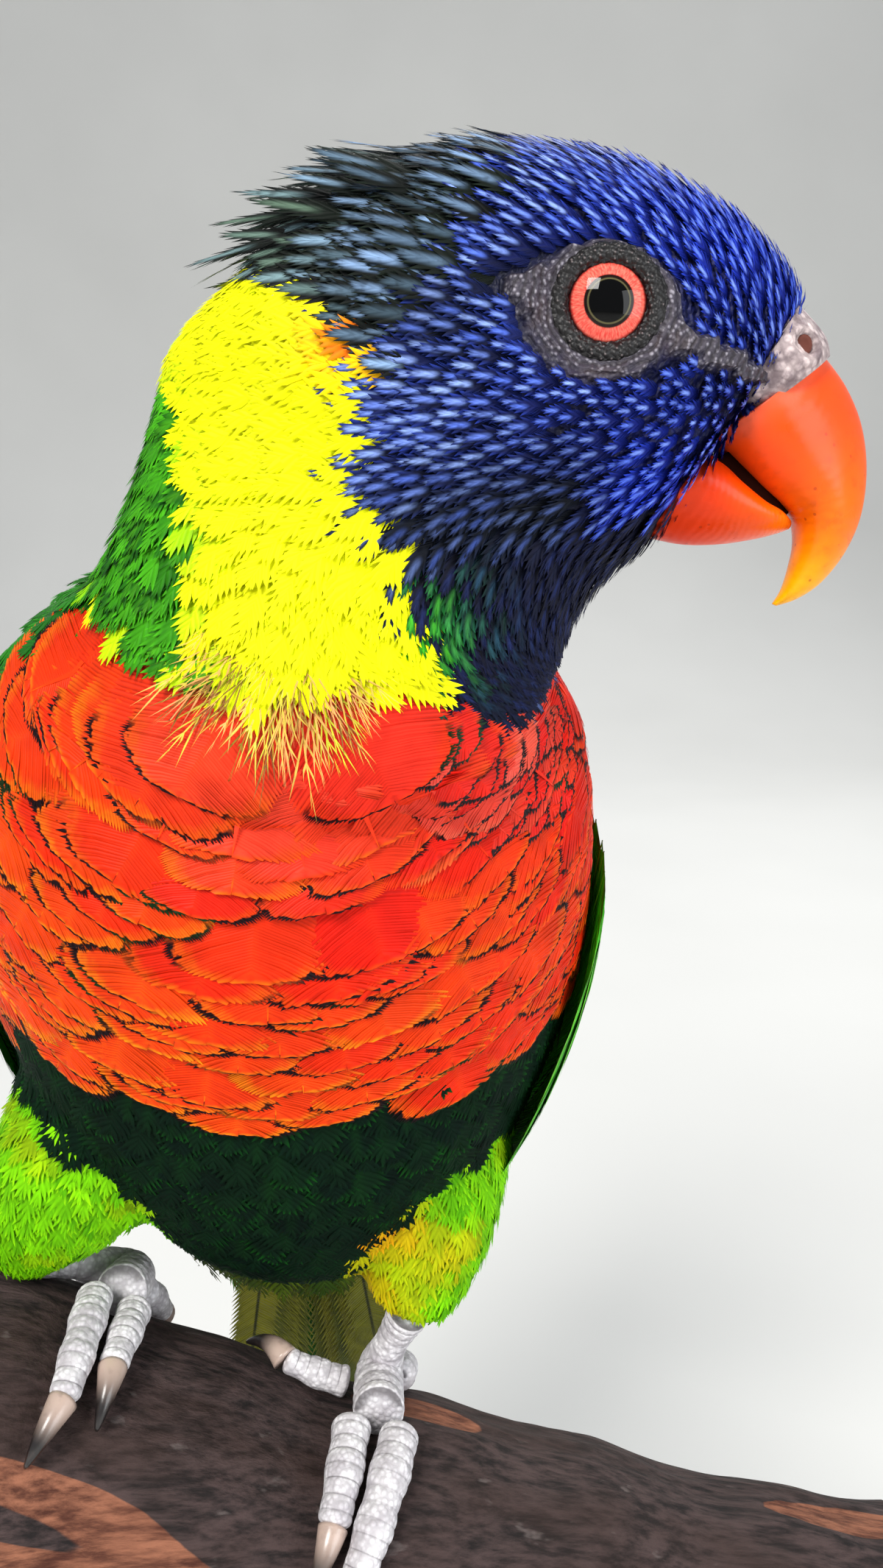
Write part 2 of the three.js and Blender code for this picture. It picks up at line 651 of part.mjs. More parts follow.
// A covert over the roots of the tail, on the back when face is 1 and underneath when it is -1
function tailCovert(place, face) {
  const { start, length, half, apart, top, slant } = COVERTS;
  const reach = length * (1 - 0.2 * Math.abs(place));
  return blade(
    [0, 0.3, 0.65, 1].map((t) => {
      const width = half * vaneShape(t);
      const middle = onAxis(start + reach * t)
        .addScaledVector(ACROSS, place * apart)
        .addScaledVector(DORSAL, face * (top - slant * Math.abs(place)));
      return [middle.clone().addScaledVector(ACROSS, -width), middle.addScaledVector(ACROSS, width), DORSAL];
    }),
  );
}

function tail() {
  const pieces = [axisStack(TAIL_CORE, 14, 0)];
  for (const side of [-1, 1]) {
    for (let pair = 0; pair < TAIL.pairs; pair++) pieces.push(tailVane(side, pair));
    for (const place of [-1, 0, 1]) pieces.push(tailCovert(place, side));
  }
  return joined(pieces);
}

// Everything is built once and given its own named mesh. What comes later is cut clear of what
// it grows from by the gap.
const root = new THREE.Group();

function show(name, solid, material) {
  const mesh = new THREE.Mesh(geometryOf(solid), material);
  mesh.name = name;
  root.add(mesh);
}

show("stand_base", standBase(), MATERIALS.stand);
ROD.places.forEach((x, i) => show(["stand_rod_left", "stand_rod_right"][i], rod(x), MATERIALS.stand));
show("stand_perch", perch(), MATERIALS.bark);

const wideTrunk = trunk(GAP);
const wideNeck = neck(GAP);
const wideSkull = skull(GAP);
show("torso", trunk(), MATERIALS.red);
show("neck", cutBy(neck(), wideTrunk), MATERIALS.collar);

const bareHead = skull().subtract(dish(-1)).subtract(dish(1));
const plumedHead = joined([bareHead, lid(-1), lid(1), ...HACKLES.flatMap(hackleRow)]);
show("head", cutBy(plumedHead, wideNeck, wideTrunk, eyeball(-1, GAP), eyeball(1, GAP)), MATERIALS.blue);
show("eye_right", eyeball(-1), MATERIALS.eye);
show("eye_left", eyeball(1), MATERIALS.eye);
show("cere", cutBy(cere(), wideSkull, nostril(-1), nostril(1)), MATERIALS.cere);
show("bill_upper", cutBy(billUpper(), wideSkull, cere(GAP)), MATERIALS.bill);
show("bill_lower", cutBy(billLower(), wideSkull, wideNeck, cere(GAP), billUpper(GAP)), MATERIALS.bill);

const legTools = [];
for (const [side, leg] of Object.entries(LEGS)) {
  const rows = smoothRows(leg.thigh, 2);
  const wideThigh = tube(rows, LEG_SIDES, GAP);
  legTools.push(wideThigh);
  show(`thigh_${side}`, cutBy(tube(rows, LEG_SIDES), wideTrunk), MATERIALS.lime);
  show(`foot_${side}`, cutBy(tarsus(leg), wideThigh, wideTrunk, perch(GAP)), MATERIALS.skin);
  const wideFoot = tarsus(leg, GAP);
  leg.toes.forEach((toe, i) => {
    const before = leg.toes.slice(0, i).map((other) => tube(toeRows(leg.foot, other), TOE_SIDES, GAP));
    const solid = cutBy(tube(toeRows(leg.foot, toe), TOE_SIDES), wideFoot, wideThigh, perch(GAP), ...before);
    show(`${toe.name}_${side}`, solid, MATERIALS.skin);
    const claw = tube(clawRows(leg.foot, toe), CLAW_SIDES);
    const wideToe = tube(toeRows(leg.foot, toe), TOE_SIDES, GAP);
    show(`claw${toe.name.slice(3)}_${side}`, cutBy(claw, wideToe, perch(GAP)), MATERIALS.claw);
  });
}

show("tail", cutBy(tail(), wideTrunk), MATERIALS.green);
show("wing_right", cutBy(wing(-1), wideTrunk, wideNeck, ...legTools), MATERIALS.green);
show("wing_left", cutBy(wing(1), wideTrunk, wideNeck, ...legTools), MATERIALS.green);

export default root;
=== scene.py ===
# Looks of a life-size rainbow lorikeet on a short cut length of branch, held by a plain stand.
# Lengths are in millimetres here, and turn into metres where meshes are made. The breast faces
# -Y, and the head is turned to the bird's own left, so that the bill points along +X.

import math

import bpy
import numpy as np
from mathutils import Matrix, Vector, noise
from mathutils.bvhtree import BVHTree


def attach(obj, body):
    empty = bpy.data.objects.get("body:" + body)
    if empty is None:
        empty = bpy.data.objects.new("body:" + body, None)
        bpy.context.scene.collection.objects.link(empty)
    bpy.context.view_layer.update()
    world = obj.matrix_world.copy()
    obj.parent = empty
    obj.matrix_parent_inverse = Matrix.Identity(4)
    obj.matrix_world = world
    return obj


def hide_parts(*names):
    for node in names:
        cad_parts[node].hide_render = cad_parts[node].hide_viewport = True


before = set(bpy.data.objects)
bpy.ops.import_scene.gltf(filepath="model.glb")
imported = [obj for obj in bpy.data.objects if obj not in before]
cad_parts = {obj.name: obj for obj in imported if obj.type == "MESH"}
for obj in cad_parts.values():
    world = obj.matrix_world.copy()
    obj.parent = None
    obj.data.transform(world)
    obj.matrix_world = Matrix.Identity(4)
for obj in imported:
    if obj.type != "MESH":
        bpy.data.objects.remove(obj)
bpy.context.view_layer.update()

MM = 0.001
PATCH = 0.003

# The trunk's straight axis, from inside the neck to the root of the tail
SHOULDER = np.array([-6.0, -12.0, 203.0])
TILT = 27
ROLL = -3
TURN = 12
# Each row is a distance down the axis, a half width, a depth to the breast and one to the back.
TRUNK = [
    [-4, 18, 16, 14],
    [5, 27.5, 22, 18],
    [16, 32.5, 28, 21],
    [30, 34.5, 32, 22.5],
    [45, 34.5, 33.5, 21.5],
    [60, 31.5, 32.5, 19.5],
    [74, 26, 29.5, 16.5],
    [87, 18.5, 22, 13.5],
    [97, 12.5, 13, 10],
    [104, 8, 6, 7],
]

# Head rows give an upper and a lower point of the profile, forward and up from the eye, and a
# half width.
EYE = np.array([23.4, -16.4, 229.1])
HEAD = [
    [-33, 1.5, -34, -4, 6],
    [-28.5, 7.4, -31.5, -14, 12],
    [-22.5, 12.3, -25.5, -22, 15],
    [-15.5, 15.2, -17.5, -25.5, 16],
    [-8, 16.1, -8.5, -25.5, 16],
    [0, 15.4, 0, -23.5, 15],
    [7, 13.3, 4.5, -21.2, 13.6],
    [13, 10.1, 7, -19, 11.6],
    [17.5, 6.4, 8.8, -16.8, 9.2],
    [20.2, 2.6, 10.8, -13.5, 7],
]
EYEBALL = {"radius": 5, "depth": 9.6}
LID = {"radius": 3.9, "tube": 0.9, "depth": 13.3}
# A round dish is hollowed out of the head round each eye.
DISH = {"radius": 9, "depth": 21.5}

# Neck rows give a side and a height for the nape, the same for the throat, and a half depth.
NECK = [
    [-29, 190, 19, 186, 21],
    [-27, 199, 21, 196, 20.5],
    [-23.6, 207, 24, 203.5, 19],
    [-20, 214, 27, 208, 17.5],
    [-17, 221.5, 26, 215, 16],
    [-14.5, 228, 20, 226, 14],
    [-8.5, 233.4, 12, 235, 10],
]
NECK_Y = [-12, -16.4]

CERE = [
    [18.6, 2.4, 11.5, -8.4, 7.1],
    [21.3, -0.4, 12.6, -8.3, 7],
    [22, -2.2, 13.4, -8.6, 6.4],
]
NOSTRIL = {"forward": 18.3, "up": -2.1, "out": 6.1, "radius": 0.7}
BILL_UPPER = [
    [21.6, -2.1, 11.2, -9.6, 6.3],
    [23.9, -4.9, 13.4, -11.7, 6.1],
    [25.6, -8.3, 16, -14.1, 5.6],
    [26.4, -12.3, 18.2, -15.5, 4.9],
    [26.2, -16.5, 19.8, -16.9, 4],
    [25, -19.9, 20.2, -19.1, 3],
    [23, -22.7, 19.8, -21.5, 2.1],
    [20.8, -24.3, 19.2, -23.5, 1.2],
    [18.8, -25, 18.4, -24.8, 0.35],
]
BILL_LOWER = [
    [8.6, -10.2, 5.4, -18.4, 5.9],
    [11.9, -11.1, 9.3, -19.2, 5.6],
    [14.3, -13.1, 13, -19.2, 5],
    [16.5, -14.9, 16.4, -18.7, 4],
    [18.3, -15.9, 18.4, -18.2, 2.7],
    [19.4, -16.8, 19.5, -17.8, 1.2],
]

# Legs: thigh and heel rows are a place and a radius. Toe and claw ends are a shift along the
# perch and an angle from its top towards the breast's side.
LEGS = {
    "right": {
        "thigh": [[-27, -2, 148, 11.5], [-33, -2, 138, 10.5], [-39, -1.5, 130, 7.6], [-43, -1, 124, 4]],
        "heel": [-43.4, -1, 123.4, 2.2],
        "foot": -37.2,
        "pad": [-30, -12],
        "toes": [
            {"name": "toe2", "from": [2.3, -10], "to": [2.4, 16], "claw": [3.2, 33], "radius": 2.3},
            {"name": "toe3", "from": [-2.5, -8], "to": [-1.2, 30], "claw": [-2.2, 48], "radius": 2.4},
            {"name": "toe1", "from": [2.2, -34], "to": [5.6, -60], "claw": [6.6, -80], "radius": 2.1},
            {"name": "toe4", "from": [-2.6, -34], "to": [-5.2, -74], "claw": [-6, -94], "radius": 2.3},
        ],
    },
    "left": {
        "thigh": [[7.5, 4, 145, 11.5], [8, 1.5, 135, 10.4], [8, -1, 126, 7.8], [6, -3, 118, 4.6]],
        "heel": [5.8, -3.2, 117.4, 2.6],
        "foot": -4.5,
        "pad": [-16, 4],
        "toes": [
            {"name": "toe2", "from": [-2.7, 8], "to": [-2.6, 40], "claw": [-3, 58], "radius": 2.5},
            {"name": "toe3", "from": [2.9, 8], "to": [1, 52], "claw": [0.4, 72], "radius": 2.6},
            {"name": "toe1", "from": [-3.4, -12], "to": [-11.6, -13], "claw": [-16.4, -22], "radius": 2},
            {"name": "toe4", "from": [2.8, -20], "to": [5.4, -64], "claw": [6.4, -84], "radius": 2.3},
        ],
    },
}
GAP = 0.3
PERCH = {"radius": 19, "y": -8, "height": 86.6, "slope": -0.326, "bend": 0.00087, "from": -64, "to": 68}

# Folded wings lie on a shell over the trunk. Each row is a distance down the axis, a half width,
# a depth to the breast, one to the back and a rise.
WING_SHELL = [row + [0] for row in TRUNK[:6]] + [
    [74, 26.5, 29, 17, 0.3],
    [87, 22.5, 22, 14.5, 1.2],
    [100, 18.5, 13, 12, 2.4],
    [115, 15.2, 9.6, 9.6, 3.6],
    [130, 12.8, 8, 8, 4],
    [155, 10, 6.5, 6.5, 4],
]
LANES = 8
# A distance, and the lowest and highest angles that the feathers reach there
LANE_FAN = [[0, 20, 80], [25, 12, 77], [50, -8, 76], [80, -8, 76], [110, 20, 80], [155, 50, 84]]
STEP = 0.95
WING_TIERS = [
    {"root": 44, "tips": [151, 149, 143, 135, 125, 112, 105, 98], "half": 3.9, "lift": 1.4},
    {"root": 30, "tips": [79, 80, 80, 79, 78, 77, 76, 74], "half": 3.7, "lift": 2.3},
    {"root": 20, "tips": [58, 58, 57, 57, 56, 56, 55, 54], "half": 3.4, "lift": 2.9},
    {"root": 11, "tips": [41, 41, 40, 40, 39, 39, 38, 37], "half": 3.2, "lift": 3.5},
]
WING_PAD = {"from": 1, "to": 62, "lift": 4.4, "thin": 0.9}
TAIL = {"start": 90, "end": 204, "pairs": 6, "shorter": 10.5, "half": 5.4}

# The breast's feathers spread from the foot of the collar.
COLLAR_FOOT = np.array([-3, -40, 203])


# Small tools
def linear(colour):
    """Screen colours as light"""
    colour = np.asarray(colour, float)
    return np.where(colour <= 0.04045, colour / 12.92, ((colour + 0.055) / 1.055) ** 2.4)


def unit(vectors):
    return vectors / np.maximum(np.linalg.norm(vectors, axis=-1, keepdims=True), 1e-9)


def step(value, low, high):
    t = np.clip((value - low) / (high - low), 0, 1)
    return t * t * (3 - 2 * t)


def smooth_rows(rows, steps):
    """Catmull-Rom values between the rows of a table"""
    rows = np.asarray(rows, float)
    last = len(rows) - 1
    out = []
    for i in range(last):
        before, start, end, after = rows[max(0, i - 1)], rows[i], rows[i + 1], rows[min(last, i + 2)]
        leave, arrive, rise = (end - before) / 2, (after - start) / 2, end - start
        for t in np.arange(steps) / steps:
            bend = 3 * rise - 2 * leave - arrive + t * (leave + arrive - 2 * rise)
            out.append(start + t * (leave + t * bend))
    return np.array(out + [rows[-1]])


def looked_up(rows, first):
    """The columns of a smoothed table at values of its first column"""
    dense = smooth_rows(rows, 6)
    return [np.interp(first, dense[:, 0], column) for column in dense.T[1:]]


def turned(vector, degrees, axis):
    return np.array(Matrix.Rotation(math.radians(degrees), 3, axis) @ Vector(vector))


ACROSS = turned(turned((1, 0, 0), TURN, "Z"), ROLL, "Y")
DOWN = (0, math.sin(math.radians(TILT)), -math.cos(math.radians(TILT)))
DOWN = turned(turned(DOWN, TURN, "Z"), ROLL, "Y")
VENTRAL = np.cross(DOWN, ACROSS)
DORSAL = -VENTRAL


def on_axis(distance):
    return SHOULDER + np.asarray(distance, float)[..., None] * DOWN


def make(name, points, faces, look=None):
    mesh = bpy.data.meshes.new(name)
    mesh.from_pydata(np.asarray(points, float) * MM, [], [list(face) for face in faces])
    mesh.update()
    mesh.shade_smooth()
    thing = bpy.data.objects.new(name, mesh)
    bpy.context.scene.collection.objects.link(thing)
    if look:
        mesh.materials.append(look)
    return thing


def place(thing, slot, *nodes):
    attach(thing, "root")
    if nodes:
        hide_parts(*nodes)


# Closed lofts
def oval(centre, along, rise, drop, across, half, sides, lean=0):
    turn = 2 * np.pi * np.arange(sides) / sides
    up = np.cos(turn)
    reach = np.where(up > 0, rise, drop) * up
    return centre + reach[:, None] * along + (np.sin(turn) * half * (1 - lean * up))[:, None] * across


def walls(rings, around, looped=False):
    """Faces between rings of points, and from the last to the first where the stack is looped"""
    faces = []
    for i in range(rings if looped else rings - 1):
        low, high = i * around, (i + 1) % rings * around
        for j in range(around):
            k = (j + 1) % around
            faces.append((low + j, low + k, high + k, high + j))
    return faces


def closed(rings):
    """Points and faces of a stack of rings, closed by a fan over each end"""
    around = len(rings[0])
    points = list(np.concatenate(rings))
    faces = walls(len(rings), around)
    for start, ring, flip in ((0, rings[0], True), ((len(rings) - 1) * around, rings[-1], False)):
        points.append(np.mean(ring, axis=0))
        for j in range(around):
            a, b = start + j, start + (j + 1) % around
            faces.append((b, a, len(points) - 1) if flip else (a, b, len(points) - 1))
    return np.array(points), faces


def together(parts):
    points, faces = [], []
    for more, theirs in parts:
        faces += [tuple(k + len(points) for k in face) for face in theirs]
        points += list(more)
    return np.array(points), faces


def ring_between(outer, inner, half, sides, lean=0):
    """An oval that two points span, one across from the other"""
    reach = np.linalg.norm(outer - inner) / 2
    along = unit(outer - inner)
    return oval((outer + inner) / 2, along, reach, reach, np.array([0, 1, 0]), half, sides, lean)


def profile_rings(rows, sides, steps, lean=0):
    rings = []
    for outer_x, outer_z, inner_x, inner_z, half in smooth_rows(rows, steps):
        outer, inner = EYE + (outer_x, 0, outer_z), EYE + (inner_x, 0, inner_z)
        rings.append(ring_between(outer, inner, half, sides, lean))
    return rings


def neck_rings():
    rings = []
    rows = smooth_rows(NECK, 3)
    for i, (nape_x, nape_z, throat_x, throat_z, half) in enumerate(rows):
        y = np.interp(i, [0, len(rows) - 1], NECK_Y)
        rings.append(ring_between(np.array([nape_x, y, nape_z]), np.array([throat_x, y, throat_z]), half, 40))
    return rings


def trunk_rings():
    return [
        oval(on_axis(distance), VENTRAL, front, back, ACROSS, half, 48)
        for distance, half, front, back in smooth_rows(TRUNK, 4)
    ]


def tube_rings(centres, radii, ups, sides):
    rings = []
    last = len(centres) - 1
    for i, centre in enumerate(centres):
        way = unit(centres[min(i + 1, last)] - centres[max(i - 1, 0)])
        across = unit(np.cross(way, ups[i]))
        rings.append(oval(centre, np.cross(across, way), radii[i], radii[i], across, radii[i], sides))
    return rings


def wing_pad(side):
    rings = []
    for t in np.linspace(0, 1, 16):
        distance = WING_PAD["from"] + (WING_PAD["to"] - WING_PAD["from"]) * t
        low, high = looked_up(LANE_FAN, distance)
        swell = math.sin(math.pi * min(0.5, 0.08 + t)) ** 0.5
        middle, reach = (low + high) / 2, ((high - low) / 2 + 3) * swell
        top = (WING_PAD["lift"] + (WING_PAD["thin"] - WING_PAD["lift"]) * t * t) * swell
        share = np.linspace(-1, 1, 17)
        upper = on_shell(side, distance, middle + share * reach, 0.6 + top * np.sqrt(1 - 0.9 * share**2))
        lower = on_shell(side, distance, middle + share[::-1] * reach, -4)
        rings.append(np.concatenate([upper, lower]))
    return rings


def on_shell(side, distance, degrees, lift):
    """A place on the shell of a wing, on the bird's left when side is 1"""
    half, front, back, rise = looked_up(WING_SHELL, distance)
    turn = np.radians(degrees)
    reach = np.where(turn > 0, back, front) + lift
    out = (side * np.cos(turn) * (half + lift))[..., None] * ACROSS
    return on_axis(distance) + out + (rise + np.sin(turn) * reach)[..., None] * DORSAL


# The skin under the coat
COAT_DEPTH = 1.2


def fetched(items, field, kind=float):
    """A field that has three values for each item of a mesh, as rows"""
    values = np.empty(len(items) * 3, kind)
    items.foreach_get(field, values)
    return values.reshape(-1, 3)


def move(mesh, points):
    mesh.vertices.foreach_set("co", (points * MM).ravel())
    mesh.update()


def joined_flesh():
    parts = [closed(trunk_rings()), closed(neck_rings()), closed(profile_rings(HEAD, 40, 4))]
    for leg in LEGS.values():
        rows = smooth_rows(leg["thigh"], 4)
        ups = np.tile([0.0, 1.0, 0.0], (len(rows), 1))
        parts.append(closed(tube_rings(rows[:, :3], rows[:, 3], ups, 28)))
    parts += [closed(wing_pad(side)) for side in (-1, 1)]
    thing = make("skin", *together(parts))
    remesh = thing.modifiers.new("whole", "REMESH")
    remesh.mode = "VOXEL"
    remesh.voxel_size = 0.95 * MM
    soft = thing.modifiers.new("soft", "SMOOTH")
    soft.factor = 0.5
    soft.iterations = 14
    bpy.context.view_layer.update()
    shaped = bpy.data.meshes.new_from_object(thing.evaluated_get(bpy.context.evaluated_depsgraph_get()))
    thing.modifiers.clear()
    move(shaped, hollowed(fetched(shaped.vertices, "co") / MM))
    thing.data = shaped
    return thing


class Skin:
    """The skin's outer shape, for roots and paths of feathers to lie on"""

    def __init__(self, thing):
        mesh = thing.data
        mesh.calc_loop_triangles()
        self.points = fetched(mesh.vertices, "co") / MM
        self.corners = fetched(mesh.loop_triangles, "vertices", int)
        self.normals = fetched(mesh.vertices, "normal")
        self.tree = BVHTree.FromPolygons(self.points.tolist(), self.corners.tolist())

    def nearest(self, spots):
        """The closest points of the skin, and its smooth normals there"""
        hits = [self.tree.find_nearest(spot) for spot in spots.tolist()]
        found = np.array([hit[0] for hit in hits])
        corners = self.corners[[hit[2] for hit in hits]]
        return found, unit(self.normals[corners].mean(axis=1))


def hollowed(points):
    """Points of the head moved in to the dish round each eye"""
    away = np.hypot(points[:, 0] - EYE[0], points[:, 2] - EYE[2])
    out = points[:, 1] - EYE[1]
    dish = DISH["depth"] - np.sqrt(np.clip(DISH["radius"] ** 2 - away**2, 0, None))
    deep = (away < 6.4) & (np.abs(out) > dish)
    points = points.copy()
    points[deep, 1] = EYE[1] + np.sign(out[deep]) * dish[deep]
    return points


def shrunk(thing, skin):
    depth = COAT_DEPTH * (1 - bare_share(skin.points))
    move(thing.data, skin.points - skin.normals * depth[:, None])


# Where the markings are
TRUNK_LOW = {
    "x": [-24, -18, -12, -4.5, 3.7, 10, 16, 20.5],
    "z": [206, 200.5, 199.5, 196.5, 197.5, 195.5, 192.5, 194.5],
}
HEAD_EDGE = {
    "z": [196, 200, 204, 208, 211, 215, 220, 225, 229, 232, 236, 240],
    "x": [9, 8, 5.4, 4.6, 3, 1.3, 2, 2.8, -0.4, -4, -8, -16],
}
NAPE_EDGE = {"z": [198, 203, 210, 216, 223, 226, 230, 236], "x": [-9, -12.6, -12.5, -13, -14, -16, -15, -15]}
BELLY_TOP = {"x": [-34, -26, -15, -4, 5, 16, 23], "z": [162, 158.4, 156, 154.8, 154.5, 157.6, 163]}
CROWN, HACKLE, THROAT, COLLAR, NAPE, BREAST, BELLY, BACK, THIGH, VENT = range(10)


def trunk_place(spots):
    """Distance down the trunk's axis, and degrees from the side towards the back"""
    off = spots - SHOULDER
    distance = off @ DOWN
    half, front, back, _ = looked_up(WING_SHELL, np.clip(distance, -4, 154))
    rise = off @ DORSAL
    turn = np.degrees(np.arctan2(rise / np.where(rise > 0, back, front), np.abs(off @ ACROSS) / half))
    return distance, turn


def thigh_share(spots):
    """How far spots are on a thigh rather than on the trunk"""
    share = np.zeros(len(spots))
    for leg in LEGS.values():
        for x, y, z, radius in smooth_rows(leg["thigh"], 3)[3:]:
            gap = np.linalg.norm(spots - (x, y, z), axis=1) / radius
            share = np.maximum(share, step(-gap, -1.45, -1.15))
    return share


def waver(spots, size):
    """A smooth wandering value about nought, which frays the edges of markings"""
    x, y, z = (spots / size).T
    return 0.5 * (np.sin(1.3 * x + 2.1 * z + 0.7) + np.sin(2.3 * y - 1.7 * z + 1.9 * x))


def region_of(spots, fray=1.0):
    x, y, z = spots.T
    distance, turn = trunk_place(spots)
    edge = fray * waver(spots, 1.7)
    behind = step(y, -14, 0)
    low = np.interp(x, TRUNK_LOW["x"], TRUNK_LOW["z"]) + behind * 9
    head_edge = np.interp(z, HEAD_EDGE["z"], HEAD_EDGE["x"])
    nape_edge = np.interp(z, NAPE_EDGE["z"], NAPE_EDGE["x"]) - 4 * behind
    wing_low = np.interp(distance, [0, 25, 45, 80], [26, 21, 2, -5])
    belly_top = np.interp(x, BELLY_TOP["x"], BELLY_TOP["z"])
    region = np.full(len(spots), BREAST)
    region[z + edge < belly_top] = BELLY
    region[(z < 134 + edge) & (distance > 74)] = VENT
    region[(turn > wing_low) & (distance < 84)] = BACK
    region[(z > 195 + 0.7 * (x + 33) + edge) & (x < -25)] = BACK
    region[thigh_share(spots) > 0.5] = THIGH
    above = z + 0.5 * edge > low
    region[above & (x + edge <= nape_edge)] = NAPE
    region[above & (x + edge > nape_edge)] = COLLAR
    blue = above & (x + edge > head_edge)
    region[blue] = CROWN
    region[blue & (z + edge < 207 + 0.25 * (x - 8))] = THROAT
    region[blue & (x + 2 * edge < 4.5 + 0.6 * (z - 226)) & (z > 224)] = HACKLE
    return region


def bare_share(spots):
    """The bare skin round each eye and over the lores"""
    forward, up = spots[:, 0] - EYE[0], spots[:, 2] - EYE[2]
    ring = np.hypot(forward / 6.2, (up + 0.4) / 5.4)
    rear = np.hypot((forward + 6) / 2.4, (up - 0.8) / 1.7)
    lore = np.hypot((forward - 8) / 7.5, (up + 1.9 + 0.28 * (forward - 3.4)) / 1.3)
    near = np.abs(spots[:, 1] - EYE[1]) > 4
    inside = np.minimum(np.minimum(ring, rear), lore) + 0.05 * waver(spots, 0.7)
    return np.where(near, step(-inside, -1.1, -0.95), 0)


# The lie of the coat
def lie(spots, normals):
    x, y, z = spots.T
    bill = EYE + (17, 0, -7)
    from_bill = unit(spots - bill)
    over_neck = np.array([-0.28, 0, -1.0]) + np.zeros_like(spots)
    head = step(z, 204, 216)[:, None] * step(x + 0.7 * (z - 215), -22, -8)[:, None]
    way = from_bill * head + unit(over_neck) * (1 - head)
    front = step(-y, -2, 14)[:, None]
    down = (DOWN + 0.12 * VENTRAL) * (1 - 0.6 * front) + unit(spots - COLLAR_FOOT) * front
    body = step(-z, -206, -196)[:, None]
    way = way * (1 - body) + down * body
    legs = (thigh_share(spots) * step(-z, -146, -132))[:, None]
    way = way * (1 - legs) + np.array([-0.1, 0.05, -1.0]) * legs
    return unit(way - (way * normals).sum(axis=1, keepdims=True) * normals)


def ahead(spots, normals, length):
    """Where the part of a feather shows that the ones before it don't cover"""
    return spots + lie(spots, normals) * (0.8 * np.broadcast_to(length, len(spots)))[:, None]


def scatter(skin, spacing, wanted, seed):
    """Points on the skin at least a spacing apart, on triangles that are wanted"""
    rng = np.random.default_rng(seed)
    corners = skin.points[skin.corners]
    sizes = np.linalg.norm(np.cross(corners[:, 1] - corners[:, 0], corners[:, 2] - corners[:, 0]), axis=1) / 2
    sizes = sizes * wanted(corners.mean(axis=1), unit(skin.normals[skin.corners].mean(axis=1)))
    count = int(7 * sizes.sum() / spacing**2)
    chosen = rng.choice(len(sizes), count, p=sizes / sizes.sum())
    a, b = rng.random((2, count))
    a, b = np.where(a + b > 1, 1 - a, a), np.where(a + b > 1, 1 - b, b)
    base = corners[chosen]
    spots = base[:, 0] + a[:, None] * (base[:, 1] - base[:, 0]) + b[:, None] * (base[:, 2] - base[:, 0])
    return thinned(spots, spacing)


def thinned(spots, spacing):
    cells = {}
    kept = []
    around = [(i, j, k) for i in (-1, 0, 1) for j in (-1, 0, 1) for k in (-1, 0, 1)]
    for spot, (x, y, z) in zip(spots.tolist(), np.floor(spots / spacing).astype(int).tolist()):
        close = (other for i, j, k in around for other in cells.get((x + i, y + j, z + k), ()))
        if all(math.dist(spot, other) >= spacing for other in close):
            cells.setdefault((x, y, z), []).append(spot)
            kept.append(spot)
    return np.array(kept)


# Feathers
def barbed(count, forward, full, blunt=2.0, close=1.2, stations=(0, 0.55), spread=0.4):
    """A feather's plan: barbs on both sides of a shaft, each a strip that ends in a point. The
    vane is widest at full, and its end is rounder the greater blunt is. Columns are a place along
    the shaft, one across it, one out along the barb, one across the barb, and its number."""
    sides = int(count * (1 - spread))
    bend = max(0.02, full - forward)

    def spot(i, out):
        fan = max(0.0, (i - sides + 0.5) / (count - sides))
        turn = min(1.0, fan) * math.pi / 2
        if fan > 0:
            start, end, wide = bend + (0.92 - bend) * fan, full + (1 - full) * math.sin(turn), math.cos(turn)
            wide = wide ** (2 / blunt)
        else:
            start = bend * (i + 0.5) / sides
            end = start + forward
            wide = min(1.0, 0.35 + 2.0 * end / full)
        return start + (end - start) * out**1.15, wide * out**0.85

    rows, faces = [], []
    for side in (-1, 1):
        for i in range(count):
            number = i + (count if side > 0 else 0)
            k = len(rows)
            for out in stations:
                for shift in (-0.5, 0.5):
                    t, wide = spot(min(i + shift * close, count - 0.5), out)
                    rows.append((t, side * wide, out, shift, number))
            t, wide = spot(i, 1.0)
            rows.append((t, side * wide, 1, 0, number))
            strips = []
            for n in range(len(stations) - 1):
                a = 2 * n
                strips += [(a, a + 1, a + 3), (a, a + 3, a + 2)]
            a = 2 * len(stations) - 2
            strips.append((a, a + 1, a + 2))
            faces += [tuple(k + n for n in (face if side > 0 else face[::-1])) for face in strips]
    k = len(rows)
    rows += [(0, -0.05, 0, 0, 0), (0, 0.05, 0, 0, 0), (0.6, -0.04, 0, 0, 0), (0.6, 0.04, 0, 0, 0)]
    rows.append((1, 0, 1, 0, 0))
    faces += [(k, k + 1, k + 3), (k, k + 3, k + 2), (k + 2, k + 3, k + 4)]
    return np.array(rows, float), np.array(faces)


def paths_on(skin, roots, lengths, free=0):
    """Paths over the skin along the lie of the coat, the last free steps of which leave it"""
    steps = 4
    here, normal = skin.nearest(roots)
    spots, normals = [here], [normal]
    for number in range(steps):
        pace = (lengths / steps)[:, None]
        if number < steps - free:
            way = lie(here, normal)
            here, normal = skin.nearest(here + way * pace)
        else:
            here = here + way * pace
        spots.append(here)
        normals.append(normal)
    return np.stack(spots, axis=1), np.stack(normals, axis=1)


def along_path(values, t):
    """Values between the points of each path, at places t of every feather"""
    last = values.shape[1] - 1
    at = np.clip(t, 0, 1) * last
    low = np.minimum(at.astype(int), last - 1)
    share = (at - low)[..., None]
    rows = np.arange(len(values))[:, None]
    return values[rows, low] * (1 - share) + values[rows, low + 1] * share


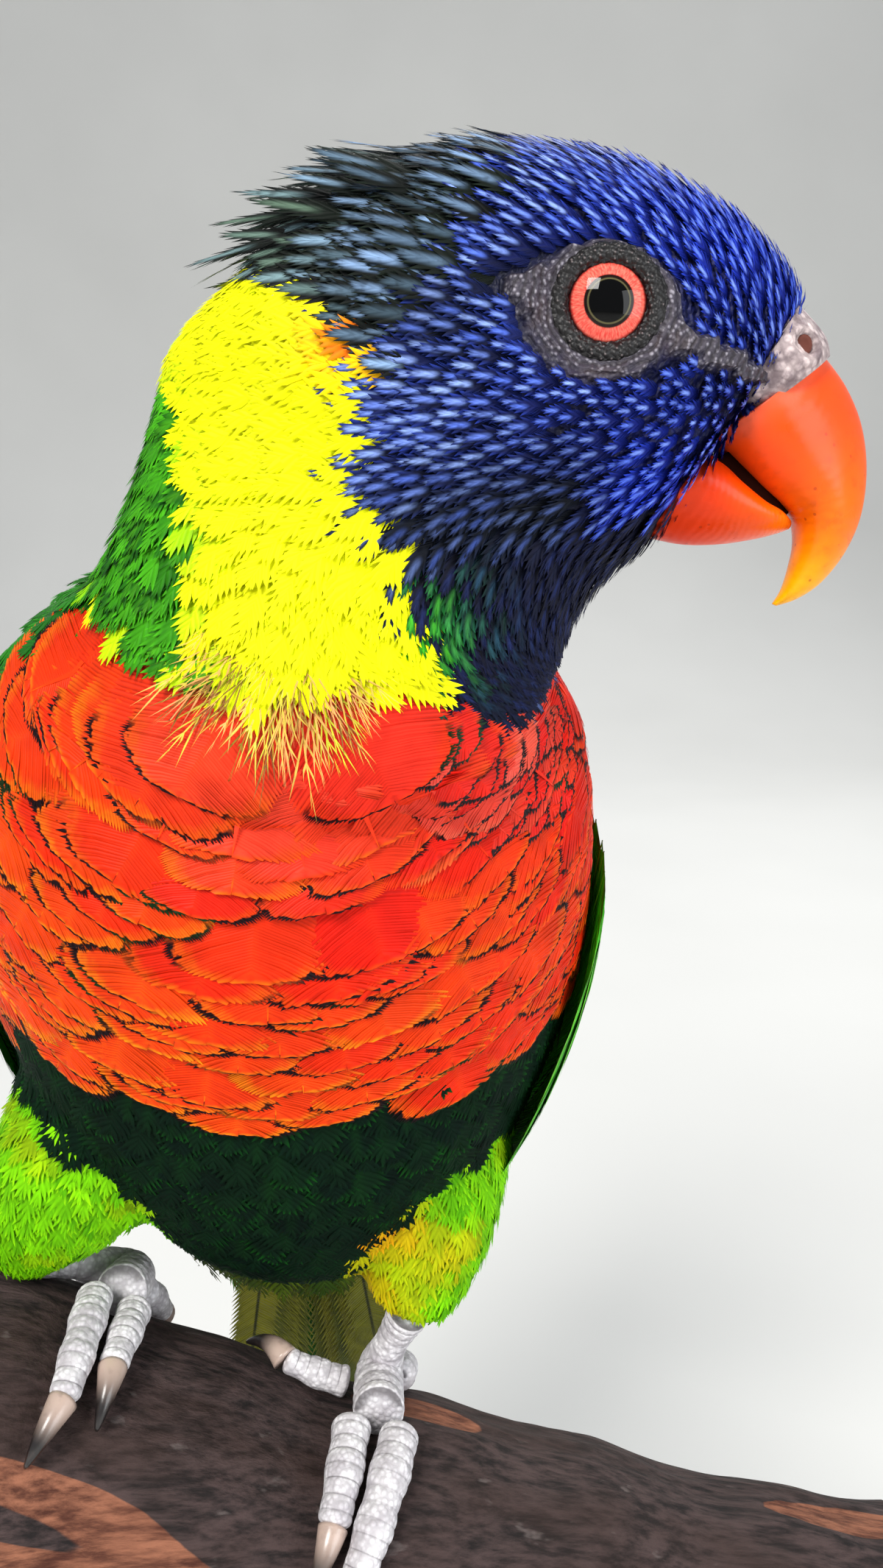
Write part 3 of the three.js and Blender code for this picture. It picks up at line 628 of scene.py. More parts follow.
def unwrap(spots):
    """A place on the skin's own unwrap: turns round the trunk or the neck, and distance along"""
    head_low, head_height, trunk_length = 197, 50, 215
    distance, _ = trunk_place(spots)
    off = spots - SHOULDER
    round_trunk = np.arctan2(off @ ACROSS, off @ VENTRAL) / (2 * np.pi) + 0.5
    round_head = np.arctan2(spots[:, 1] + 14, spots[:, 0] - 4) / (2 * np.pi) + 0.5
    upper = spots[:, 2] > head_low
    u = np.where(upper, round_head, round_trunk)
    on_head = 0.54 + (spots[:, 2] - head_low) / head_height * 0.42
    on_trunk = 0.02 + np.clip(distance, -5, 210) / trunk_length * 0.5
    v = np.where(upper, on_head, on_trunk)
    legs = thigh_share(spots) > 0.5
    v = np.where(legs, v + 0.0017, v)
    return np.stack([0.02 + 0.96 * u, v], axis=1)


def blended(a, b, share):
    return linear(a) * (1 - share) + linear(b) * share


def toned(colour, share, other):
    return colour * (1 - share) + linear(other) * share


def shaded(share, low, high, *tints):
    """Colours between two by a share, with each tint laid over them by a share of its own"""
    colour = blended(low, high, share)
    for part, tint in tints:
        colour = toned(colour, part, tint)
    return colour


def near_spot(spots, x, z, size):
    """One at a place of the bird's front, and less away from it"""
    return np.exp(-(((spots[:, :1] - x) ** 2 + (spots[:, 2:] - z) ** 2) / size**2))


def blue_colours(spots, chance, second, third):
    """Crown, hackles and throat: vivid over the brow and chin, and dim towards the throat"""
    x, z = spots[:, :1], spots[:, 2:]
    vivid = np.clip(near_spot(spots, 35, 238, 12) + near_spot(spots, 27, 213, 9), 0, 1)
    dim = step(0.25 * (x - 10) - z, -221, -211) * step(-x, -28, -19)
    dim = np.clip(dim + 0.7 * near_spot(spots, 9, 228, 5), 0, 1)
    splash = near_spot(spots, 6.5, 201.5, 5) * (chance > 0.3)
    rear = step(-x, -4, 5)
    vivid_base, dim_base = (vivid, (0.08, 0.15, 0.58)), (dim, (0.03, 0.05, 0.09))
    vivid_rim, dim_rim = (vivid, (0.13, 0.25, 0.82)), (dim, (0.06, 0.1, 0.2))
    vivid_streak, dim_streak = (0.6 * vivid, (0.3, 0.44, 0.97)), (0.85 * dim, (0.13, 0.19, 0.36))
    return {
        CROWN: (
            shaded(chance, (0.04, 0.055, 0.16), (0.07, 0.11, 0.33), vivid_base, dim_base),
            shaded(second, (0.07, 0.12, 0.34), (0.14, 0.23, 0.62), vivid_rim, dim_rim),
            shaded(third, (0.3, 0.42, 0.86), (0.62, 0.73, 0.99), vivid_streak, dim_streak),
        ),
        HACKLE: (
            shaded(chance, (0.03, 0.035, 0.04), (0.055, 0.085, 0.06)),
            shaded(second, (0.04, 0.055, 0.06), (0.09, 0.14, 0.09)),
            shaded(third, (0.14, 0.2, 0.2), (0.52, 0.64, 0.8), (0.6 * rear, (0.4, 0.5, 0.34))),
        ),
        THROAT: (
            shaded(chance, (0.02, 0.025, 0.07), (0.035, 0.05, 0.15), (splash, (0.01, 0.24, 0.04))),
            shaded(second, (0.03, 0.04, 0.12), (0.05, 0.08, 0.24), (splash, (0.1, 0.62, 0.06))),
            shaded(third, (0.05, 0.07, 0.16), (0.1, 0.15, 0.34), (splash, (0.3, 0.8, 0.08))),
        ),
    }


def collar_colours(spots, chance, second, third):
    """A yellow collar, lime at its rear edge and amber in two spots, and the green nape"""
    x, z = spots[:, :1], spots[:, 2:]
    amber = near_spot(spots, 2.5, 226, 3) + 0.8 * near_spot(spots, -11, 199, 3) * (chance > 0.4)
    amber = np.clip(amber, 0, 1)
    lime = np.clip(1 - (x - np.interp(z, NAPE_EDGE["z"], NAPE_EDGE["x"])) / 4, 0, 1) * second
    amber_base, lime_base = (amber, (0.97, 0.4, 0.04)), (lime, (0.5, 0.8, 0.02))
    amber_rim, lime_rim = (amber, (0.98, 0.5, 0.05)), (lime, (0.6, 0.87, 0.03))
    return {
        COLLAR: (
            shaded(chance, (0.95, 0.96, 0.0), (0.99, 0.99, 0.01), amber_base, lime_base),
            shaded(second, (0.98, 0.99, 0.0), (0.86, 0.95, 0.01), amber_rim, lime_rim),
            shaded(third, (0.99, 1.0, 0.01), (0.97, 0.9, 0.01), (lime, (0.66, 0.88, 0.03))),
        ),
        NAPE: (
            shaded(chance, (0.05, 0.3, 0.02), (0.25, 0.62, 0.06)),
            shaded((second > 0.5) * 1.0, (0.3, 0.72, 0.08), (0.02, 0.16, 0.05)),
            shaded(third, (0.2, 0.6, 0.06), (0.4, 0.75, 0.12)),
        ),
    }


def body_colours(spots, chance, second, third):
    """A red breast, warmer below and paler under the throat, greens, and gold on the left thigh"""
    x, z = spots[:, :1], spots[:, 2:]
    warm = np.clip(0.1 + (186 - z) / 50 + 0.5 * (chance - 0.5) + 0.025 * np.maximum(-6 - x, 0), 0, 1)
    soft = near_spot(spots, -4, 190, 8)
    pale = near_spot(spots, 14, 193, 5) * (chance > 0.35)
    gold = np.clip(near_spot(spots, 2, 130, 9) * 1.1 + 0.4 * waver(spots, 5)[:, None] - 0.2, 0, 1)
    red = 0.5 * warm + 0.2 * chance
    soft_base, pale_base = (soft, (0.94, 0.27, 0.18)), (pale, (0.93, 0.4, 0.33))
    return {
        BREAST: (
            shaded(red, (0.84, 0.06, 0.02), (0.93, 0.3, 0.03), soft_base, pale_base),
            shaded(warm, (0.9, 0.2, 0.02), (0.96, 0.54, 0.05), (pale, (0.94, 0.6, 0.5))),
            shaded(warm, (0.88, 0.14, 0.03), (0.95, 0.36, 0.05)),
        ),
        BELLY: (
            shaded(chance, (0.01, 0.075, 0.05), (0.03, 0.13, 0.06)),
            shaded(second**3, (0.015, 0.1, 0.06), (0.06, 0.3, 0.06)),
            shaded(third**2, (0.02, 0.1, 0.06), (0.06, 0.24, 0.06)),
        ),
        BACK: (
            shaded(chance, (0.05, 0.36, 0.03), (0.14, 0.52, 0.04)),
            shaded(second, (0.24, 0.66, 0.06), (0.06, 0.34, 0.05)),
            shaded(third, (0.04, 0.24, 0.04), (0.1, 0.42, 0.05)),
        ),
        THIGH: (
            shaded(chance, (0.3, 0.6, 0.01), (0.48, 0.8, 0.02), (gold, (0.85, 0.62, 0.03))),
            shaded(second, (0.42, 0.78, 0.02), (0.6, 0.86, 0.05), (gold, (0.95, 0.55, 0.06))),
            shaded(third, (0.5, 0.84, 0.04), (0.2, 0.5, 0.03), (gold, (0.98, 0.8, 0.1))),
        ),
        VENT: (
            shaded(chance, (0.08, 0.2, 0.04), (0.3, 0.38, 0.07)),
            shaded(second, (0.2, 0.3, 0.05), (0.42, 0.46, 0.1)),
            shaded(third, (0.15, 0.28, 0.05), (0.5, 0.5, 0.14)),
        ),
    }


def colour_sets(region, spots, rng):
    """Base, edge and streak colours of feathers or skin, by the region that they are in"""
    draws = rng.random((3, len(region), 1))
    out = np.zeros((3, len(region), 3))
    for colours in (blue_colours, collar_colours, body_colours):
        for which, kinds in colours(spots, *draws).items():
            on = region == which
            for target, colour in zip(out, kinds):
                target[on] = colour[on]
    return out


def beside(skin, path, normals, halves):
    """How far the skin falls away at both sides of the paths, for feathers to bend with it"""
    side = unit(np.cross(normals, np.gradient(path, axis=1))) * halves[:, None, None]
    falls = []
    for way in (-1, 1):
        found, _ = skin.nearest((path + way * side).reshape(-1, 3))
        falls.append(((found.reshape(path.shape) - path) * normals).sum(axis=2, keepdims=True))
    return falls


def feathers(
    name, look, path, normals, halves, lift, plan, colours, seed,
    sink=0.3, camber=0.06, ragged=0.1, depth=COAT_DEPTH, falls=None, marks=None,
):
    """One coat piece: every feather of it is the plan laid along its own path"""
    rows, faces = plan
    rng = np.random.default_rng(seed)
    count, size = len(path), len(rows)
    t, across, out, grain, number = (np.tile(column, (count, 1)) for column in rows.T)
    phase = rng.random((count, 1)) * 6.28
    clump = np.sin(phase + number * 0.9) * 0.6 + np.sin(2.7 * phase + number * 2.3) * 0.4
    barb = rng.normal(0, 1, (count, int(rows[:, 4].max()) + 1))[np.arange(count)[:, None], number.astype(int)]
    across = across * (1 + ragged * out * (0.6 * barb + 0.5 * clump))
    t = t + ragged * 0.45 * out * (clump + 0.5 * barb) * (1 - 0.6 * np.abs(across))
    spots = along_path(path, t)
    up = unit(along_path(normals, t))
    fore = unit(along_path(path, np.clip(t + 0.12, 0, 1)) - along_path(path, np.clip(t - 0.12, 0, 1)))
    side = unit(np.cross(up, fore))
    overrun = np.maximum(t - 1, 0) * np.linalg.norm(path[:, -1] - path[:, 0], axis=1)[:, None]
    lift = np.broadcast_to(lift, count)[:, None]
    height = -sink - depth + (lift + sink) * np.clip(t, 0, 1.1) ** 0.75
    height = height - camber * halves[:, None] * across**2 + 0.05 * barb * out
    if falls is not None:
        left, right = (along_path(fall, t)[..., 0] for fall in falls)
        height = height + np.minimum(across**2, 1) * np.where(across < 0, left, right)
    spots = spots + side * (across * halves[:, None])[..., None] + up * height[..., None]
    spots = spots + fore * overrun[..., None]
    patch = np.stack([across * 0.5, rows[:, 0] - 0.5 + 0 * across], axis=2)
    where = unwrap(path[:, 0])[:, None, :] + PATCH * patch
    every = (faces[None] + (np.arange(count) * size)[:, None, None]).reshape(-1, 3)
    thing = make(name, spots.reshape(-1, 3), every, look)
    lay_out(thing, where.reshape(-1, 2))
    values = np.stack([rows[:, 0] + 0 * across, across, out], axis=2)
    attribute(thing, "plan", "FLOAT_VECTOR", values.reshape(-1, 3))
    attribute(thing, "grain", "FLOAT", grain)
    attribute(thing, "chance", "FLOAT", np.repeat(rng.random(count) if marks is None else marks, size))
    for label, colour in zip(("base", "rim", "streak"), colours):
        colour = np.concatenate([colour, np.ones((count, 1))], axis=1)
        attribute(thing, label, "FLOAT_COLOR", np.repeat(colour, size, axis=0))
    return thing


def attribute(thing, name, kind, values):
    field = {"FLOAT": "value", "FLOAT_VECTOR": "vector", "FLOAT_COLOR": "color"}[kind]
    layer = thing.data.attributes.new(name, kind, "POINT")
    layer.data.foreach_set(field, np.ascontiguousarray(values, dtype=np.float32).ravel())


def lay_out(thing, places):
    """The OFBake map, from one place for each vertex"""
    mesh = thing.data
    corners = np.empty(len(mesh.loops), int)
    mesh.loops.foreach_get("vertex_index", corners)
    layer = mesh.uv_layers.new(name="OFBake")
    layer.data.foreach_set("uv", np.ascontiguousarray(places[corners], dtype=np.float32).ravel())


# Material nodes
class Look:
    """A material. Each short call makes a node of it, and gives the socket that comes out."""

    def __init__(self, name, roughness, **constants):
        self.made = bpy.data.materials.new(name)
        self.made.use_nodes = True
        self.tree = self.made.node_tree
        self.shader = self.tree.nodes["Principled BSDF"]
        self.shader.inputs["Roughness"].default_value = roughness
        for key, value in constants.items():
            self.shader.inputs[key.replace("_", " ")].default_value = value
        self.places = {}

    def put(self, kind, inputs, **settings):
        node = self.tree.nodes.new("ShaderNode" + kind)
        for key, value in settings.items():
            setattr(node, key, value)
        for key, value in inputs.items():
            if isinstance(value, bpy.types.NodeSocket):
                self.tree.links.new(value, node.inputs[key])
            else:
                node.inputs[key].default_value = value
        return node

    def to_shader(self, name, value):
        self.tree.links.new(value, self.shader.inputs[name])

    def calc(self, operation, *values):
        return self.put("Math", dict(enumerate(values)), operation=operation).outputs[0]

    def times(self, product, *others):
        for other in others:
            product = self.calc("MULTIPLY", product, other)
        return product

    def plus(self, a, b):
        return self.calc("ADD", a, b)

    def minus(self, a, b):
        return self.calc("SUBTRACT", a, b)

    def ease(self, value, low, high, start=0.0, end=1.0):
        inputs = {"Value": value, "From Min": low, "From Max": high, "To Min": start, "To Max": end}
        return self.put("MapRange", inputs, interpolation_type="SMOOTHSTEP").outputs[0]

    def mixed(self, share, a, b, blend="MIX"):
        a, b = (value if isinstance(value, bpy.types.NodeSocket) else (*linear(value), 1) for value in (a, b))
        return self.put("Mix", {0: share, 6: a, 7: b}, data_type="RGBA", blend_type=blend).outputs[2]

    def over(self, under, colour, value, low, high, most=1.0):
        """A colour laid over the one under it, the more the nearer a value is to high"""
        return self.mixed(self.ease(value, low, high, 0.0, most), under, colour)

    def place(self, stretch=(1, 1, 1)):
        if stretch not in self.places:
            spot = self.put("TexCoord", {}).outputs["Object"]
            self.places[stretch] = self.put("Mapping", {"Vector": spot, "Scale": stretch}).outputs[0]
        return self.places[stretch]

    def cloud(self, scale, detail=3.0, rough=0.55, spot=None):
        spot = self.place() if spot is None else spot
        inputs = {"Vector": spot, "Scale": scale, "Detail": detail, "Roughness": rough}
        return self.put("TexNoise", inputs).outputs[0]

    def pebbles(self, scale):
        return self.put("TexVoronoi", {"Vector": self.place(), "Scale": scale}).outputs["Distance"]

    def named(self, name, output="Color"):
        return self.put("Attribute", {}, attribute_name=name).outputs[output]

    def share(self, name):
        return self.named(name, "Fac")

    def raised(self, height, strength, depth):
        bump = self.put("Bump", {"Height": height, "Strength": strength, "Distance": depth * MM})
        self.to_shader("Normal", bump.outputs[0])

    def painted(self, colour):
        self.to_shader("Base Color", colour)
        return self.made


def plumage(word, streak, rim, roughness=0.6, gloss=0.12, ribs=1.0, barb_shade_lightness=0.76):
    """Feather colours: a streak down the shaft, an edge band and ribbed barbs over a base, each barb in
    painted shade towards its edges
    """
    look = Look(f"feathers_{word}", roughness, Specular_IOR_Level=gloss)
    parts = look.put("SeparateXYZ", {0: look.named("plan", "Vector")}).outputs
    along, across, out = parts[0], look.calc("ABSOLUTE", parts[1]), parts[2]
    rib = look.calc("COSINE", look.times(look.share("grain"), 6.283 * ribs))
    broken = look.minus(look.cloud(900, 2), 0.5)
    shaft = look.times(
        look.ease(across, streak["wide"], 0.02),
        look.ease(along, streak["from"], streak["from"] + 0.2),
        look.ease(along, streak["to"], streak["to"] - 0.14),
        look.ease(broken, -0.25, 0.0, 0.55 * streak["weight"], streak["weight"]),
    )
    colour = look.mixed(shaft, look.named("base"), look.named("streak"))
    band = look.times(
        look.ease(look.plus(out, look.times(broken, 0.35)), rim["from"], rim["to"]),
        look.ease(along, rim["low"], rim["low"] + 0.25, 0.0, rim["weight"]),
    )
    colour = look.mixed(band, colour, look.named("rim"))
    if "dark" in rim:
        patchy = look.plus(look.cloud(90, 2), look.share("chance"))
        tip = look.times(
            look.ease(look.plus(out, look.times(broken, 0.3)), rim["dark"], rim["dark"] + 0.04),
            look.ease(along, 0.7, 0.8),
            look.ease(patchy, 0.8, 0.92),
        )
        ink = look.over((0.09, 0.025, 0.04), (0.03, 0.15, 0.04), look.cloud(75, 1), 0.58, 0.64)
        colour = look.mixed(tip, colour, ink)
    # Painted shade: each barb darkens towards its edges, as a lit ridge would, more so towards the barb's
    # end; a random mottle of brightness multiplies it.
    lines = look.times(look.ease(rib, 1, -1, 0.0, 1.06 - barb_shade_lightness), look.ease(out, 0.3, 1.0, 0.6, 1.8))
    barb_shade_and_mottle = look.times(look.minus(1.06, lines), look.ease(look.cloud(260), 0.3, 0.7, 0.82, 1.12))
    grey = look.put("CombineColor", {0: barb_shade_and_mottle, 1: barb_shade_and_mottle, 2: barb_shade_and_mottle}).outputs[0]
    look.raised(rib, 0.4, 0.1)
    return look.painted(look.mixed(1.0, colour, grey, "MULTIPLY"))


def round_eye(look):
    """Distance in millimetres from the eyes' axis, and the angle round it"""
    spot = look.put("SeparateXYZ", {0: look.place()}).outputs
    x = look.minus(spot[0], EYE[0] * MM)
    z = look.minus(spot[2], EYE[2] * MM)
    square = look.plus(look.times(x, x), look.times(z, z))
    return look.calc("DIVIDE", look.calc("SQRT", square), MM), look.calc("ARCTAN2", z, x)


def skin_look():
    """Bare grey pebbled skin in folds round the eyes, and dark down under the feathers"""
    look = Look("skin", 0.6, Specular_IOR_Level=0.35)
    bumps = look.pebbles(2100)
    away, _ = round_eye(look)
    folds = look.calc("SINE", look.times(look.plus(away, look.times(look.cloud(420), 1.8)), 8.5))
    tone = look.over((0.6, 0.58, 0.62), (0.27, 0.25, 0.29), bumps, 0.1, 0.5)
    tone = look.over(tone, (0.13, 0.11, 0.13), folds, 0.0, -0.9, 0.7)
    tone = look.over(tone, (0.26, 0.2, 0.2), look.cloud(330), 0.45, 0.7, 0.5)
    tone = look.over(tone, (0.09, 0.08, 0.09), away, 4.9, 4.1, 0.7)
    down = look.over(look.named("base"), (0.02, 0.02, 0.03), look.cloud(1500), 0.3, 0.7, 0.6)
    look.raised(look.plus(look.times(bumps, -1), look.times(folds, 0.45)), 0.8, 0.32)
    return look.painted(look.mixed(look.share("bare"), down, tone))


def eye_look():
    """Rings of colour round the pupil, by the distance in millimetres from the eye's own axis"""
    look = Look("eye", 0.3, Coat_Weight=0.8, Coat_Roughness=0.01, Coat_IOR=1.33, Specular_IOR_Level=0.0)
    away, angle = round_eye(look)
    spokes = look.put("CombineXYZ", {0: look.times(angle, 9.0), 1: away, 2: 0.0}).outputs[0]
    iris = look.over((0.88, 0.25, 0.22), (0.98, 0.5, 0.42), look.cloud(2.2, 4, spot=spokes), 0.3, 0.75)
    iris = look.over(iris, (0.25, 0.03, 0.03), away, 2.8, 3.1)
    brown = look.over((0.09, 0.045, 0.03), iris, away, 1.96, 2.1)
    olive = look.over((0.33, 0.31, 0.2), brown, away, 1.72, 1.8)
    return look.painted(look.over((0.003, 0.003, 0.005), olive, away, 1.6, 1.67))


def lid_look():
    look = Look("lid", 0.5, Specular_IOR_Level=0.4)
    bumps = look.pebbles(2300)
    look.raised(look.times(bumps, -1), 0.8, 0.3)
    return look.painted(look.over((0.42, 0.38, 0.38), (0.045, 0.035, 0.04), bumps, 0.05, 0.3))


def bill_look(name, inner, outer, tip, pale):
    """Horn that goes from its base colour to a lighter tip, with growth lines and small chips"""
    look = Look(name, 0.34, Coat_Weight=0.08, Coat_Roughness=0.25, Specular_IOR_Level=0.2)
    cloudy = look.cloud(130, 4)
    fine = look.cloud(900, 4, spot=look.place((1, 0.3, 1)))
    shift = look.plus(look.share("along"), look.times(look.minus(cloudy, 0.5), 0.16))
    colour = look.over(inner, outer, shift, 0.15, 0.62)
    colour = look.over(colour, tip, shift, 0.5, 0.86)
    colour = look.over(colour, pale, shift, 0.1, 0.0, 0.5)
    colour = look.over(colour, (0.6, 0.14, 0.03), fine, 0.5, 0.8, 0.3)
    colour = look.over(colour, (0.62, 0.16, 0.05), look.pebbles(520), 0.1, 0.06, 0.55)
    chips = look.times(look.ease(look.pebbles(210), 0.09, 0.05), look.ease(cloudy, 0.55, 0.62, 0.0, 0.8))
    lines = look.calc("SINE", look.times(shift, 150.0))
    look.raised(look.plus(look.times(lines, 0.25), fine), 0.22, 0.12)
    look.to_shader("Roughness", look.ease(cloudy, 0.3, 0.7, 0.24, 0.42))
    return look.painted(look.mixed(chips, colour, (0.25, 0.07, 0.03)))


def cere_look():
    look = Look("cere", 0.7, Specular_IOR_Level=0.3)
    bumps = look.pebbles(1300)
    tone = look.over((0.52, 0.46, 0.47), (0.84, 0.77, 0.76), look.cloud(700, 4), 0.35, 0.65)
    look.raised(look.times(bumps, -1), 0.6, 0.3)
    return look.painted(look.over(tone, (0.34, 0.28, 0.29), bumps, 0.3, 0.6, 0.5))


def scale_look():
    """Pale grey ringed scutes with pebbled sides"""
    look = Look("scales", 0.58, Specular_IOR_Level=0.35)
    bumps = look.pebbles(1500)
    tone = look.over((0.74, 0.72, 0.74), (0.92, 0.91, 0.92), look.cloud(420, 4), 0.3, 0.7)
    tone = look.over(tone, (0.52, 0.5, 0.51), bumps, 0.25, 0.6, 0.4)
    look.raised(look.times(bumps, -1), 0.55, 0.3)
    return look.painted(look.over(tone, (0.28, 0.26, 0.27), look.share("groove"), 0.4, 0.9, 0.8))


def claw_look():
    look = Look("claw", 0.3, Coat_Weight=0.3, Coat_Roughness=0.2)
    grain = look.cloud(600)
    tone = look.over((0.72, 0.63, 0.58), (0.1, 0.085, 0.085), look.share("along"), 0.1, 0.65)
    look.raised(grain, 0.25, 0.15)
    return look.painted(look.over(tone, (0.36, 0.3, 0.28), grain, 0.5, 0.75, 0.35))


def bark_look():
    """Dark grey-brown bark with fine lengthwise streaks, pale flecks and bare tan patches"""
    look = Look("bark", 0.82, Specular_IOR_Level=0.25)
    streaks = look.cloud(900, 5, 0.65, look.place((0.09, 1, 1)))
    broad = look.cloud(90, 4, spot=look.place((0.35, 1, 1)))
    flecks = look.cloud(420, spot=look.place((0.4, 1, 1)))
    tone = look.over((0.09, 0.07, 0.07), (0.27, 0.215, 0.21), streaks, 0.32, 0.66)
    tone = look.over(tone, (0.18, 0.12, 0.1), broad, 0.4, 0.7, 0.6)
    tone = look.over(tone, (0.42, 0.38, 0.37), flecks, 0.64, 0.74, 0.5)
    tan = look.over((0.26, 0.13, 0.09), (0.56, 0.36, 0.27), streaks, 0.3, 0.7)
    worn = look.plus(look.share("bare"), look.times(look.minus(broad, 0.5), 0.8))
    look.raised(look.plus(streaks, look.times(look.cloud(1500), 0.3)), 0.8, 0.5)
    return look.painted(look.over(tone, tan, worn, 0.45, 0.6))


def stand_look():
    look = Look("stand", 0.48, Specular_IOR_Level=0.5)
    grain = look.cloud(1400)
    wear = look.cloud(60, 4)
    tone = look.over((0.13, 0.13, 0.14), (0.18, 0.18, 0.19), wear, 0.35, 0.7)
    look.raised(grain, 0.12, 0.06)
    look.to_shader("Roughness", look.ease(wear, 0.3, 0.7, 0.38, 0.58))
    return look.painted(look.over(tone, (0.3, 0.3, 0.31), grain, 0.6, 0.8, 0.25))


# The coat
def streaked(wide=0.3, start=0.2, end=1.05, weight=0.25):
    return {"wide": wide, "from": start, "to": end, "weight": weight}


def edged(start=0.5, weight=0.7, low=0.2, **dark):
    return {"from": start, "to": 1.0, "weight": weight, "low": low, **dark}


def wanted_in(kinds, length, fray=1.0, middle=False):
    """Whether feathers with roots at some spots would show in regions of these kinds"""

    def wanted(spots, normals):
        seen = ahead(spots, normals, length)
        tips = spots + lie(spots, normals) * length
        bare = np.maximum(np.maximum(bare_share(spots), bare_share(seen)), bare_share(tips))
        inside = np.isin(region_of(seen, fray), kinds) & (bare < 0.5)
        if middle:
            inside &= np.isin(region_of(ahead(spots, normals, 0.3 * length), fray), kinds)
        return inside

    return wanted


def coat(word, slot, skin, kinds, roots, size, plan, look, free=0, marks=None, **shape):
    """Feathers of some regions as one piece. Their size is a length, a half width and a lift."""
    roots = roots[np.argsort(roots[:, 2])]
    rng = np.random.default_rng(len(roots))
    length, half, lift = (value(roots) if callable(value) else value for value in size)
    vary = rng.uniform(0.85, 1.15, len(roots))
    path, normals = paths_on(skin, roots, vary * length, free)
    seen = path[:, 3]
    region = region_of(seen)
    colours = colour_sets(np.where(np.isin(region, kinds), region, kinds[0]), seen, rng)
    if not free:
        shape["falls"] = beside(skin, path, normals, vary * half)
    if marks:
        shape["marks"] = marks(seen, rng)
    place(feathers(f"coat_{word}", look, path, normals, vary * half, lift, plan, colours, 0, **shape), slot)


def face_share(roots):
    """One round the eyes and the bill, nought at the back of the head"""
    return step(-np.hypot(roots[:, 0] - EYE[0] - 5, roots[:, 2] - EYE[2] + 3), -19, -6)


def head_coat(skin):
    """Short pointed feathers with a bright streak each, smallest round the eyes and the bill"""
    kinds = [CROWN, THROAT, HACKLE]
    roots = scatter(skin, 1.0, wanted_in(kinds, 4.2), 21)
    look = plumage("head", streaked(0.42, 0.46, 0.96, 1.0), edged(0.35, 0.9))
    size = (lambda spots: 5.6 - 2.4 * face_share(spots), lambda spots: 0.95 - 0.35 * face_share(spots), 1.3)
    coat("head", "feathers_blue", skin, kinds, roots, size, barbed(9, 0.34, 0.6, 1.3, 1.1), look)


def hackles(skin):
    """Long narrow feathers of the nape, the upper ones of which stand clear of the head"""
    look = plumage("hackle", streaked(0.46, 0.42, 0.98, 1.0), edged(0.6, 0.6))
    plan = barbed(15, 0.32, 0.55, 1.5, 1.15)
    nape = wanted_in([HACKLE], 8)

    def crest(spots, normals):
        x, y, z = spots.T
        return nape(spots, normals) & (x > -5) & (x < 11) & (z > 235) & (np.abs(y - EYE[1]) < 12)

    low = scatter(skin, 2.0, nape, 31)
    coat("hackles", "feathers_blue", skin, [HACKLE], low, (8.5, 1.35, 1.8), plan, look, 1)
    high = scatter(skin, 2.3, crest, 33)
    coat("crest", "feathers_blue", skin, [HACKLE], high, (10.8, 1.3, 2.6), plan, look, 3)


def collar_coat(skin):
    kinds = [COLLAR, NAPE]
    roots = scatter(skin, 1.3, wanted_in(kinds, 7), 41)
    look = plumage("collar", streaked(), edged(), barb_shade_lightness=0.84)
    plan = barbed(15, 0.36, 0.62, 1.7, 1.15)
    coat("collar", "feathers_collar", skin, kinds, roots, (7.5, 2.0, 1.5), plan, look, ragged=0.14)


def breast_roots(skin):
    """Roots in rings round the foot of the collar, each ring half a feather out of step"""
    pitch, pace, rings = 7.4, 1.25, 33
    angles = np.radians(np.arange(-130, 131, 2))[:, None]
    ways = np.cos(angles) * DOWN + np.sin(angles) * ACROSS
    here, normal = skin.nearest(COLLAR_FOOT + 2 * ways)
    rng = np.random.default_rng(50)
    spots = []
    for ring in range(rings):
        run = np.append(0, np.cumsum(np.linalg.norm(np.diff(here, axis=0), axis=1)))
        count = int(run[-1] / 2 / pitch)
        at = run[-1] / 2 + pitch * (np.arange(-count, count + 1) + 0.5 * (ring % 2))
        at = at + rng.normal(0, 0.3, 2 * count + 1)
        spots.append(np.stack([np.interp(at, run, column) for column in here.T], axis=1))
        for _ in range(2):
            ways = unit(ways - (ways * normal).sum(axis=1, keepdims=True) * normal)
            here, normal = skin.nearest(here + pace * ways)
    spots = np.concatenate(spots)
    return thinned(spots + rng.normal(0, 0.15, spots.shape), 1.8)


def breast_coat(skin):
    """Large scalloped feathers in rings, with broken dark edges"""
    roots, normals = skin.nearest(breast_roots(skin))
    roots = roots[wanted_in([BREAST], 12, 0.2, True)(roots, normals)]

    def marks(spots, rng):
        plain = near_spot(spots, -5, 189, 8) + 0.6 * near_spot(spots, 22, 182, 6)
        return np.clip(rng.uniform(0.3, 0.85, len(spots)) - 0.6 * plain[:, 0], 0, 1)

    edge = edged(0.6, 0.95, 0.55, dark=0.84)
    look = plumage("breast", streaked(0.1, 0.3, 1.05, 0.2), edge, 0.5, 0.1, barb_shade_lightness=0.84)
    plan = barbed(36, 0.28, 0.8, 4.0, 1.25, (0, 0.45, 0.88), 0.55)
    shape = {"camber": 0.03, "ragged": 0.02, "marks": marks}
    coat("breast", "feathers_red", skin, [BREAST], roots, (12.5, 7.4, 1.9), plan, look, **shape)


